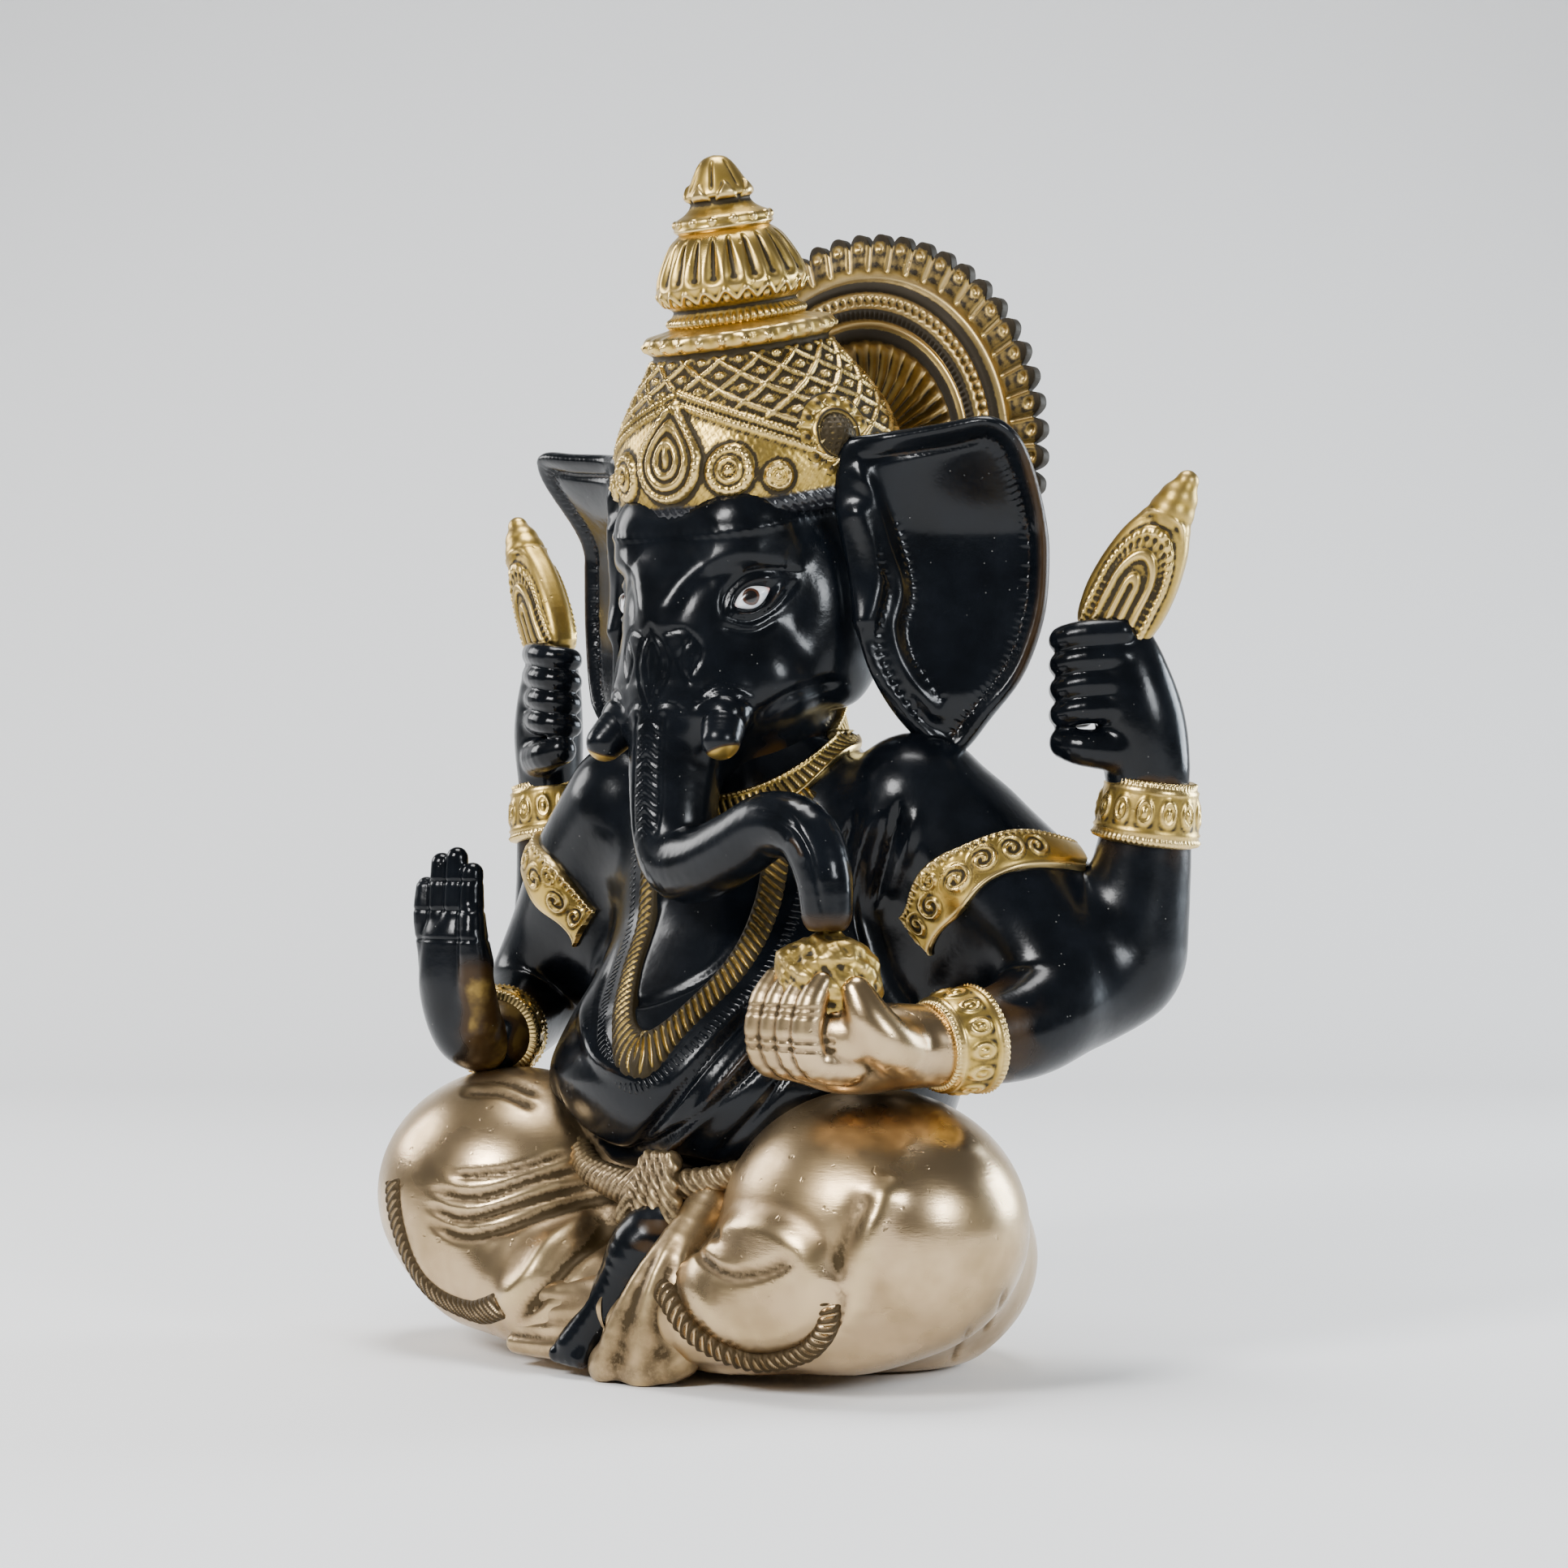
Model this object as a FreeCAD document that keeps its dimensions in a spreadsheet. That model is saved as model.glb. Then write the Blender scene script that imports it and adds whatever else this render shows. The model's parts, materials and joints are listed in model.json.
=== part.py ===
import FreeCAD, Part

import math
import os

from FreeCAD import Rotation, Vector

# A seated four-armed elephant-headed figurine in cast brass, about 245 mm tall.
# Frame: +Z up, the figure faces -Y, its own left is +X, origin at the centre of its footprint on the floor.
# All lengths are in millimetres. The driving dimensions are cells of the sheet named Dims.

doc = FreeCAD.newDocument("seated_figurine")

# ---------------------------------------------------------------- driving dimensions

# Each station is a place and a radius: x, y, z, radius.
# A paired limb lists its left one; the right is mirrored.
STATIONS = {
    "shoulder": (37.0, 9.0, 113.0, 16.0),
    "upper_arm": (55.0, 13.0, 94.0, 14.5),
    "elbow": (68.0, 15.0, 69.0, 11.5),
    "forearm": (67.0, -1.0, 64.5, 9.5),
    "wrist": (62.5, -15.0, 66.5, 8.0),
    "rear_shoulder": (44.0, 19.0, 105.0, 13.0),
    "rear_upper_arm": (60.0, 25.5, 89.0, 12.3),
    "rear_elbow": (71.5, 28.0, 83.0, 11.8),
    "rear_forearm": (76.0, 29.0, 97.0, 10.0),
    "rear_wrist": (79.0, 29.5, 113.0, 8.2),
    "raised_forearm": (60.0, -2.0, 63.0, 9.0),
    "raised_wrist": (54.0, -17.0, 64.0, 7.6),
    "trunk_root": (0.0, -14.0, 150.0, 13.0),
    "trunk_bridge": (0.0, -19.0, 134.0, 11.4),
    "trunk_middle": (0.0, -22.5, 118.0, 9.3),
    "trunk_bend": (2.0, -24.5, 104.5, 8.1),
    "trunk_under": (12.0, -27.5, 102.0, 7.4),
    "trunk_rise": (24.0, -30.5, 105.5, 6.9),
    "trunk_crest": (36.0, -33.0, 108.5, 6.4),
    "trunk_fall": (43.5, -34.5, 106.0, 6.0),
    "trunk_drop": (47.3, -35.3, 99.0, 5.5),
    "trunk_tip": (47.8, -35.0, 93.0, 4.8),
}

# Horizontal ovals stacked upward: height, half width, half depth and how far back the middle lies.
STACKS = {
    "torso": [
        (34.0, 22.0, 17.0, 4.0),
        (41.0, 36.0, 29.0, 3.0),
        (50.0, 43.5, 36.5, 3.0),
        (58.0, 45.0, 38.2, 3.0),
        (68.0, 41.0, 34.8, 3.5),
        (78.0, 37.5, 28.5, 5.0),
        (88.0, 37.0, 24.2, 7.5),
        (99.0, 38.5, 22.6, 9.0),
        (110.0, 35.5, 21.6, 9.5),
        (122.0, 25.0, 18.5, 7.0),
    ],
    "head": [
        (117.0, 17.0, 15.0, 4.0),
        (126.0, 18.5, 17.5, 1.5),
        (135.0, 22.0, 21.0, -2.5),
        (145.0, 24.5, 23.5, -2.5),
        (155.0, 25.5, 25.0, 0.0),
        (166.0, 26.5, 26.0, 3.0),
        (181.0, 26.0, 25.5, 7.0),
    ],
}

# The seated lower body, level by level:
# height, size against its widest outline, and where its front middle lies.
SEAT_LEVELS = [
    (0.0, 0.74, -38.0),
    (7.0, 0.88, -42.0),
    (18.0, 0.97, -41.0),
    (31.0, 1.0, -36.0),
    (42.0, 0.93, -27.0),
    (51.0, 0.75, -20.0),
    (57.0, 0.50, -12.0),
]
SEAT_OUTLINE = [(32, -43.5), (58, -40), (74, -26), (76.5, -10), (70, 10), (55, 29), (30, 42)]

DIMS = {
    # lower body
    "seat_back": 45.0,
    "core_r": 30.0,
    "core_top": 88.0,
    "neck_core_r": 12.0,
    "neck_core_top": 112.0,
    "plate_thick": 3.0,
    # head
    "cheek_x": 11.5,
    "cheek_y": -9.0,
    "cheek_z": 138.0,
    "cheek_r": 12.0,
    "brow_x": 10.0,
    "brow_y": -10.0,
    "brow_z": 166.0,
    "brow_r": 14.5,
    "eye_x": 18.4,
    "eye_y": -17.4,
    "eye_z": 153.0,
    "eye_wide": 4.2,
    "eye_tall": 2.2,
    "eye_deep": 2.2,
    "tusk_x": 12.0,
    "tusk_y": -19.0,
    "tusk_z": 131.0,
    "tusk_root_r": 5.2,
    "tusk_end_r": 3.9,
    "tusk_length": 15.0,
    # ears
    "ear_x": 25.5,
    "ear_y": 1.0,
    "ear_z": 150.0,
    "ear_thick": 4.0,
    "ear_sweep": 36.0,
    # crown
    "crown_y": 6.0,
    "crown_z": 175.0,
    "crown_lean": 13.2,
    "rosette_r": 9.0,
    # halo
    "halo_y": 37.4,
    "halo_z": 187.0,
    "halo_r": 47.5,
    "halo_teeth": 50,
    "tooth_r": 2.1,
    "stem_r": 3.2,
    # hands and what they hold
    "sweet_r": 10.5,
    "sweet_x": 47.5,
    "sweet_y": -33.5,
    "sweet_z": 78.5,
    "bud_wide": 8.2,
    "bud_deep": 5.0,
    "bud_tall": 15.5,
    # jewellery
    "band_rise": 1.6,
    "cuff_width": 11.0,
    "armlet_width": 10.0,
    "necklace_rise": 1.4,
    "sash_rise": 0.8,
    "hem_rise": 0.02,
    # feet and drape
    "drape_front": 47.0,
}

sheet = doc.addObject("Spreadsheet::Sheet", "Dims")
cells = dict(DIMS)
for place, values in STATIONS.items():
    for axis_name, value in zip(("x", "y", "z", "r"), values):
        cells[f"{place}_at_{axis_name}"] = value
for stack_name, levels in STACKS.items():
    for i, level in enumerate(levels):
        for part_name, value in zip(("height", "wide", "deep", "back"), level):
            cells[f"{stack_name}{i}_{part_name}"] = value
for row, (alias, value) in enumerate(cells.items(), start=1):
    sheet.set(f"A{row}", alias)
    sheet.set(f"B{row}", str(value))
    sheet.setAlias(f"B{row}", alias)
doc.recompute()


def dim(alias):
    """The value of one cell of the sheet."""
    return float(getattr(sheet, alias))


def bind(thing, **formulas):
    """Binds each named property to a formula over the sheet."""
    for prop, formula in formulas.items():
        thing.setExpression(prop, formula)


def place_by(thing, x="0", y="0", z="0"):
    """Binds where a thing stands to formulas over the sheet."""
    thing.setExpression("Placement.Base.x", f"({x}) * 1 mm")
    thing.setExpression("Placement.Base.y", f"({y}) * 1 mm")
    thing.setExpression("Placement.Base.z", f"({z}) * 1 mm")


# ---------------------------------------------------------------- small makers

def ellipsoid(name, place, radii):
    """An ellipsoid whose centre and x, y, z radii are formulas over the sheet."""
    made = doc.addObject("Part::Ellipsoid", name)
    bind(made, Radius1=radii[2], Radius2=radii[0], Radius3=radii[1])
    place_by(made, *place)
    return made


def sphere(name, place, radius):
    made = doc.addObject("Part::Sphere", name)
    bind(made, Radius=radius)
    place_by(made, *place)
    return made


def rod(name, start, end, start_r, end_r):
    """A round bar or cone from start to end, both given as points."""
    run = end - start
    made = doc.addObject("Part::Cone", name)
    made.Radius1 = start_r
    made.Radius2 = end_r
    made.Height = run.Length
    made.Placement = FreeCAD.Placement(start, Rotation(Vector(0, 0, 1), run))
    return made


def fuse(name, pieces):
    made = doc.addObject("Part::MultiFuse", name)
    made.Shapes = pieces
    made.Refine = False
    return made


def cut(name, base, tool):
    made = doc.addObject("Part::Cut", name)
    made.Base = base
    made.Tool = tool
    made.Refine = False
    return made


def common(name, base, tool):
    made = doc.addObject("Part::Common", name)
    made.Base = base
    made.Tool = tool
    made.Refine = False
    return made


def cut_by(name, base, tools):
    """The base with every tool taken out of it, one after another."""
    for i, tool in enumerate(tools):
        base = cut(name if i == len(tools) - 1 else f"{name}_step{i}", base, tool)
    return base


def mirrored(name, source):
    """The same piece on the figure's other side."""
    made = doc.addObject("Part::Mirroring", name)
    made.Source = source
    made.Normal = Vector(1, 0, 0)
    made.Base = Vector(0, 0, 0)
    return made


def station(name, side=1):
    """Centre and radius of a limb station."""
    centre = Vector(side * dim(f"{name}_at_x"), dim(f"{name}_at_y"), dim(f"{name}_at_z"))
    return centre, dim(f"{name}_at_r")


def stack(name, source, grow="0"):
    """A smooth solid lofted up through horizontal ovals, all grown sideways by one formula."""
    ovals = []
    for i, (_, wide, deep, _) in enumerate(STACKS[source]):
        oval = doc.addObject("Part::Ellipse", f"{name}_oval{i}")
        long_way, short_way = ("wide", "deep") if wide >= deep else ("deep", "wide")
        if wide < deep:
            oval.Placement.Rotation = Rotation(Vector(0, 0, 1), 90)
        major = f"Dims.{source}{i}_{long_way} + {grow}"
        minor = f"Dims.{source}{i}_{short_way} + {grow}"
        bind(oval, MajorRadius=major, MinorRadius=minor)
        place_by(oval, "0", f"Dims.{source}{i}_back", f"Dims.{source}{i}_height")
        ovals.append(oval)
    made = doc.addObject("Part::Loft", name)
    made.Sections = ovals
    made.Solid = True
    return made


def seat_block(name, grow=1.0):
    """The crossed legs and seat: closed curves stacked upward, each a scaled copy of the widest outline."""
    rings = []
    for i, (height, size, front) in enumerate(SEAT_LEVELS):
        half = [(x * size * grow, y * size * grow) for x, y in SEAT_OUTLINE]
        back = dim("seat_back") * size * grow
        loop = [(0, front * grow)] + half + [(0, back)] + [(-x, y) for x, y in reversed(half)]
        curve = Part.BSplineCurve()
        curve.interpolate(Points=[Vector(x, y, 0) for x, y in loop], PeriodicFlag=True)
        ring = doc.addObject("Part::Feature", f"{name}_ring{i}")
        ring.Shape = Part.Wire([curve.toShape()])
        ring.Placement.Base = Vector(0, 0, height)
        rings.append(ring)
    made = doc.addObject("Part::Loft", name)
    made.Sections = rings
    made.Solid = True
    return made


def chain(name, points):
    """Balls at (x, y, z, radius) points, joined by tapering bars."""
    pieces = []
    for i, (x, y, z, r) in enumerate(points):
        ball = doc.addObject("Part::Sphere", f"{name}_ball{i}")
        ball.Radius = r
        ball.Placement.Base = Vector(x, y, z)
        pieces.append(ball)
    for i, (a, b) in enumerate(zip(points, points[1:])):
        pieces.append(rod(f"{name}_bar{i}", Vector(*a[:3]), Vector(*b[:3]), a[3] * 0.94, b[3] * 0.93))
    return pieces


def limb(name, stations, side=1):
    """A jointed arm: a ball at each station and a tapering bar from each one to the next."""
    pieces = []
    for i, s in enumerate(stations):
        place = (f"{side} * Dims.{s}_at_x", f"Dims.{s}_at_y", f"Dims.{s}_at_z")
        pieces.append(sphere(f"{name}_ball{i}", place, f"Dims.{s}_at_r"))
    for i, (a, b) in enumerate(zip(stations, stations[1:])):
        pa, ra = station(a, side)
        pb, rb = station(b, side)
        pieces.append(rod(f"{name}_bar{i}", pa, pb, ra * 0.985, rb * 0.985))
    return fuse(name, pieces)


def body_with_sketch(name, role):
    """A PartDesign body with an empty sketch on one of its origin planes."""
    body = doc.addObject("PartDesign::Body", name)
    plane = next(f for f in body.Origin.OriginFeatures if f.Role == role)
    sketch = body.newObject("Sketcher::SketchObject", f"{name}_sketch")
    sketch.AttachmentSupport = [(plane, "")]
    sketch.MapMode = "FlatFace"
    return body, sketch


def closed_outline(sketch, points):
    """Straight edges round a closed outline."""
    for a, b in zip(points, points[1:] + points[:1]):
        sketch.addGeometry(Part.LineSegment(Vector(*a, 0), Vector(*b, 0)), False)


def turned(name, profile):
    """A PartDesign revolution about Z of (radius, height) points; the axis closes the outline."""
    body, sketch = body_with_sketch(name, "XZ_Plane")
    closed_outline(sketch, profile)
    turn = body.newObject("PartDesign::Revolution", f"{name}_turn")
    turn.Profile = sketch
    turn.ReferenceAxis = (sketch, ["V_Axis"])
    turn.Angle = 360
    return body


nodes = {}


def keep(label, thing):
    """Names a finished sub-part, which is written to a file of that name."""
    thing.Label = label
    nodes[label] = thing
    return thing


# ---------------------------------------------------------------- torso and lower body

torso_outer = stack("torso_outer", "torso")
lower_outer = seat_block("lower_outer")
# The casting's hollow: wide inside the seat and belly, narrow up to the neck.
core_low = doc.addObject("Part::Cylinder", "core_low")
bind(core_low, Radius="Dims.core_r", Height="Dims.core_top + 10")
place_by(core_low, "0", "Dims.torso3_back + 1", "-10")
core_high = doc.addObject("Part::Cylinder", "core_high")
bind(core_high, Radius="Dims.neck_core_r", Height="Dims.neck_core_top")
place_by(core_high, "0", "Dims.torso3_back + 4", "0")
core = fuse("core", [core_low, core_high])
torso = cut("torso_shell", torso_outer, core)
lower_body = cut_by("lower_body_shell", lower_outer, [torso_outer, core])
base_plate = doc.addObject("Part::Cylinder", "base_plate_disc")
bind(base_plate, Radius="Dims.core_r", Height="Dims.plate_thick")
place_by(base_plate, "0", "Dims.torso3_back + 1", "0")
keep("base_plate", base_plate)

# ---------------------------------------------------------------- feet and front drape

FOOT = [(5, -31, 31, 7.0), (4, -37, 24, 7.4), (-3, -40, 13, 5.6), (-8, -42.5, 5, 4.2)]
foot = fuse("right_foot_whole", chain("foot", FOOT))
toe_pieces = []
for i in range(4):
    knuckle = (-12, -41.9, 15.4 - 3.5 * i, 2.3)
    tip = (-20.5 - i, -42.6, 15.0 - 3.6 * i, 2.1)
    toe_pieces += chain(f"toe{i}", [knuckle, tip])
toes = fuse("left_toes_whole", toe_pieces)
drape = fuse("drape", chain("fold", [(7, -33, 24, 8.0), (3, -38, 12, 8.5), (0, -39, 7.5, 7.5)]))
drape_foot = doc.addObject("Part::Cone", "drape_foot")
bind(drape_foot, Radius1="13", Radius2="7", Height="11")
place_by(drape_foot, "3", "13 - Dims.drape_front", "0")
drape_whole = fuse("drape_whole", [drape, drape_foot])
below = doc.addObject("Part::Box", "below_floor")
below.Length, below.Width, below.Height = 200, 200, 50
below.Placement.Base = Vector(-100, -100, -50)
FOOT_CUTTERS = [lower_outer, torso_outer]
keep("right_foot", cut_by("right_foot_trim", foot, FOOT_CUTTERS + [below]))
keep("left_toes", cut_by("left_toes_trim", toes, FOOT_CUTTERS + [foot, below]))
keep("front_drape", cut_by("front_drape_trim", drape_whole, FOOT_CUTTERS + [foot, toes, below]))
WAIST = [(-31, -22, 46, 4.5), (-16, -30, 38, 4.8), (0, -33, 35, 5.2), (16, -30, 38, 4.8), (31, -22, 46, 4.5)]
waist_tie = fuse("waist_whole", chain("waist", WAIST))
keep("waist_tie", cut_by("waist_trim", waist_tie, FOOT_CUTTERS + [foot, drape_whole]))
keep("lower_body", lower_body)

# ---------------------------------------------------------------- head, crown seat and trunk

skull = stack("skull", "head")
head_balls = []
for side, sign in (("left", "1"), ("right", "-1")):
    for lump in ("cheek", "brow"):
        place = (f"{sign} * Dims.{lump}_x", f"Dims.{lump}_y", f"Dims.{lump}_z")
        head_balls.append(sphere(f"{side}_{lump}", place, f"Dims.{lump}_r"))
head_outer = fuse("head_outer", [skull] + head_balls)

LEAN = Rotation(Vector(1, 0, 0), dim("crown_lean"))
CROWN_BASE = Vector(0, dim("crown_y"), dim("crown_z"))


def lean_onto_head(thing):
    """Stands a piece turned about Z on the crown's leaning axis."""
    thing.Placement = FreeCAD.Placement(CROWN_BASE, LEAN)
    bind(thing, **{"Placement.Base.y": "Dims.crown_y * 1 mm", "Placement.Base.z": "Dims.crown_z * 1 mm"})
    thing.setExpression("Placement.Rotation.Angle", "Dims.crown_lean * 1 deg")


DOME = [(0, 0), (28.5, 0), (29.4, 3), (29.6, 8.5), (28.8, 13), (26.6, 18.5), (24, 23), (21, 27.2), (18.3, 32)]
DOME_FLANGE = [(19.3, 33.5), (19, 36), (14.5, 37.5), (0, 37.5)]
BULB = [
    (0, 37.5), (13.5, 37.5), (13.2, 41.5), (15.4, 44.9), (15, 47.5), (13.4, 51), (11.5, 54.2), (9.2, 56), (0, 56),
]
FINIAL = [
    (0, 56), (9.6, 56), (9.8, 58.6), (7.3, 60), (6.8, 62), (6.2, 63.3), (7, 64.5), (6.3, 66), (4.2, 69), (2, 70.6),
    (0, 71),
]
crown_dome = turned("crown_dome_body", DOME + DOME_FLANGE)
crown_bulb = turned("crown_bulb_body", BULB)
crown_finial = turned("crown_finial_body", FINIAL)
for crown_piece in (crown_dome, crown_bulb, crown_finial):
    lean_onto_head(crown_piece)
doc.recompute()

trunk_whole = limb(
    "trunk_whole",
    ["trunk_root", "trunk_bridge", "trunk_middle", "trunk_bend", "trunk_under", "trunk_rise", "trunk_crest",
     "trunk_fall", "trunk_drop", "trunk_tip"],
)
head = cut_by("head_trim", head_outer, [crown_dome, torso_outer])
trunk = cut_by("trunk_trim", trunk_whole, [head_outer, torso_outer])

TUSK_RUN = Vector(0.30, -0.72, -0.62)
eyes = {}
tusks = {}
for side, sign in (("left", 1), ("right", -1)):
    eye = ellipsoid(
        f"{side}_eye_ball", (f"{sign} * Dims.eye_x", "Dims.eye_y", "Dims.eye_z"),
        ("Dims.eye_wide", "Dims.eye_deep", "Dims.eye_tall"),
    )
    eye.Placement.Rotation = Rotation(Vector(0, 0, 1), sign * 40)
    eyes[side] = eye
    root = Vector(sign * dim("tusk_x"), dim("tusk_y"), dim("tusk_z"))
    run = Vector(sign * TUSK_RUN.x, TUSK_RUN.y, TUSK_RUN.z)
    end = root + run * dim("tusk_length")
    stub = rod(f"{side}_tusk_bar", root, end, dim("tusk_root_r"), dim("tusk_end_r"))
    tusks[side] = stub
    keep(f"{side}_tusk", cut_by(f"{side}_tusk_trim", stub, [head_outer, trunk_whole]))
    keep(f"{side}_eye", eye)
head = cut_by("head_with_sockets", head, list(eyes.values()))
keep("head", head)
keep("trunk", trunk)
keep("torso", torso)

# ---------------------------------------------------------------- ears

# The ear's outline in its own plane: outward from the head, and up from eye level.
EAR_OUTLINE = [
    (0, -30), (8, -33), (15, -31.5), (24, -23), (33, -10), (39.5, 5), (42.5, 18), (41, 29), (36, 35.5), (24, 34),
    (12, 31), (2, 28), (0, 15), (1.5, -2), (1, -18),
]
ear_body, ear_sketch = body_with_sketch("ear_body", "XZ_Plane")
closed_outline(ear_sketch, EAR_OUTLINE)
ear_pad = ear_body.newObject("PartDesign::Pad", "ear_pad")
ear_pad.Profile = ear_sketch
ear_pad.Midplane = True
bind(ear_pad, Length="Dims.ear_thick * 1 mm")
ear_body.Placement.Rotation = Rotation(Vector(0, 0, 1), dim("ear_sweep"))
place_by(ear_body, "Dims.ear_x", "Dims.ear_y", "Dims.ear_z")
ear_cut = cut_by("left_ear_trim", ear_body, [head_outer, crown_dome, torso_outer])
keep("left_ear", ear_cut)
keep("right_ear", mirrored("right_ear_mirror", ear_cut))

# ---------------------------------------------------------------- crown rosettes, halo and its stem

ROSETTE_TURN = 62
rosette_blank = doc.addObject("Part::Cylinder", "rosette_blank")
bind(rosette_blank, Radius="Dims.rosette_r", Height="30 mm")
rosette_way = LEAN.multVec(Rotation(Vector(0, 0, 1), ROSETTE_TURN).multVec(Vector(0, -1, 0)))
rosette_seat = CROWN_BASE + LEAN.multVec(Vector(0, 0, 13.5))
rosette_blank.Placement = FreeCAD.Placement(
    rosette_seat + rosette_way * 2.6, Rotation(Vector(0, 0, 1), rosette_way)
)
rosette = cut_by("left_rosette_trim", rosette_blank, [crown_dome, ear_body])
keep("left_rosette", rosette)
keep("right_rosette", mirrored("right_rosette_mirror", rosette))

HALO_PROFILE = [
    (0, 1.0), (7, 0.6), (9, 1.6), (24, 3.4), (26, 0.4), (28.5, 0.4), (29.5, 1.4), (33.5, 1.4), (35, 0.2),
    (38, 2.0), (46, 1.6), (46, 4.2), (0, 4.2),
]
halo_disc = turned("halo_disc", HALO_PROFILE)
halo_disc.Placement.Rotation = Rotation(Vector(1, 0, 0), -90)
place_by(halo_disc, "0", "Dims.halo_y", "Dims.halo_z")
teeth = []
tooth_pitch = 360.0 / dim("halo_teeth")
for i in range(int(dim("halo_teeth"))):
    turn = math.radians(i * tooth_pitch)
    middle = Vector(math.sin(turn), 0, math.cos(turn)) * (dim("halo_r") - dim("tooth_r"))
    tooth = doc.addObject("Part::Cylinder", f"halo_tooth{i}")
    bind(tooth, Radius="Dims.tooth_r * 1 mm", Height="3.4 mm")
    tooth.Placement = FreeCAD.Placement(
        middle + Vector(0, dim("halo_y") + 4.6, dim("halo_z")), Rotation(Vector(1, 0, 0), 90)
    )
    teeth.append(tooth)
halo = fuse("halo_whole", [halo_disc] + teeth)
keep("halo_wheel", halo)
stem_start = Vector(0, 20, 187)
stem_end = Vector(0, dim("halo_y") + 1.0, dim("halo_z"))
stem_blank = rod("stem_blank", stem_start, stem_end, dim("stem_r"), dim("stem_r"))
keep("halo_stem", cut_by("halo_stem_trim", stem_blank, [crown_dome, halo_disc]))
keep("crown_dome", crown_dome)
keep("crown_bulb", crown_bulb)
keep("crown_finial", crown_finial)

# ---------------------------------------------------------------- arms

ARM_CUTTERS = [torso_outer, lower_outer, head_outer]
left_front = limb("left_front_arm_loft", ["shoulder", "upper_arm", "elbow", "forearm", "wrist"])
RAISED_ARM = ["shoulder", "upper_arm", "elbow", "raised_forearm", "raised_wrist"]
right_front = limb("right_front_arm_loft", RAISED_ARM, -1)
REAR_ARM = ["rear_shoulder", "rear_upper_arm", "rear_elbow", "rear_forearm", "rear_wrist"]
arms = {
    "left_front_arm": cut_by("left_front_arm_trim", left_front, ARM_CUTTERS),
    "right_front_arm": cut_by("right_front_arm_trim", right_front, ARM_CUTTERS),
}
rear_lofts = {}
for side, sign, front in (("left", 1, left_front), ("right", -1, right_front)):
    rear = limb(f"{side}_rear_arm_loft", REAR_ARM, sign)
    rear_lofts[side] = rear
    arms[f"{side}_rear_arm"] = cut_by(f"{side}_rear_arm_trim", rear, ARM_CUTTERS + [front])
for arm_name, arm in arms.items():
    keep(arm_name, arm)

# ---------------------------------------------------------------- hands

# A closed rear hand: palm, four fingers one above another, and a thumb. Each entry is x, y, z, radius.
FIST_PALM = [(78.8, 29, 117, 7.6), (78, 27, 127, 8.6), (76.5, 25, 137, 8.2), (75, 24, 144, 6.4)]
fist_pieces = chain("fist_palm", FIST_PALM)
for i in range(4):
    height = 145.5 - 5.0 * i
    knuckles = [(75, 20.0, height, 2.8), (68.5, 17.0, height - 0.6, 2.7), (64.3, 21.0, height - 1.2, 2.6)]
    fist_pieces += chain(f"fist_finger{i}", knuckles)
fist_pieces += chain("fist_thumb", [(73, 22, 124.5, 3.6), (66.5, 18.8, 123.5, 3.2)])
left_fist = fuse("left_fist_whole", fist_pieces)

# A flat lotus-bud emblem with a stepped tip stands upright in each rear hand.
BUD_RADII = ("Dims.bud_wide", "Dims.bud_deep", "Dims.bud_tall")
emblem_blade = ellipsoid("emblem_blade", ("0", "0", "12"), BUD_RADII)
emblem_neck = doc.addObject("Part::Cone", "emblem_neck")
emblem_neck.Radius1, emblem_neck.Radius2, emblem_neck.Height = 4.6, 3.4, 4
emblem_neck.Placement.Base = Vector(0, 0, 24.5)
emblem_tip = doc.addObject("Part::Cone", "emblem_tip")
emblem_tip.Radius1, emblem_tip.Radius2, emblem_tip.Height = 4.0, 1.4, 6
emblem_tip.Placement.Base = Vector(0, 0, 28)
emblem_whole = fuse("emblem_whole", [emblem_blade, emblem_neck, emblem_tip])
emblem_lean = Rotation(Vector(0, 0, 1), Vector(15, 4.5, 27))
emblem_whole.Placement = FreeCAD.Placement(Vector(74.0, 24, 148.5), emblem_lean)

left_rear_hand = cut_by("left_rear_hand_trim", left_fist, [rear_lofts["left"]])
left_emblem = cut_by("left_emblem_trim", emblem_whole, [left_fist])
keep("left_rear_hand", left_rear_hand)
keep("left_emblem", left_emblem)
keep("right_rear_hand", mirrored("right_rear_hand_mirror", left_rear_hand))
keep("right_emblem", mirrored("right_emblem_mirror", left_emblem))
right_fist = mirrored("right_fist_whole", left_fist)

# The raised front hand: palm forward, four straight fingers side by side, the thumb laid against them.
raised = chain("raised_heel", [(-54, -19, 64.5, 7.0), (-54.5, -26, 65.5, 6.6)])
for i, reach in enumerate((99.0, 102.8, 103.0, 100.0)):
    knuckle = (-61.4 + 4.6 * i, -29.6 + 0.1 * i, 83.0)
    root = (-59.0 + 3.2 * i, -27.6 + 0.15 * i, 66.5 - 0.2 * i, 5.0 - 0.2 * i)
    column = [root, (*knuckle, 3.3), (knuckle[0], -30.5, reach - 2.4, 2.5)]
    raised += chain(f"raised_finger{i}", column)
raised += chain("raised_thumb", [(-48.5, -28, 69, 4.0), (-45.5, -31.5, 79, 3.0), (-46.5, -33, 87, 2.5)])
raised_hand = fuse("raised_hand_whole", raised)
keep("right_front_hand", cut("raised_hand_trim", raised_hand, right_front))

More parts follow.
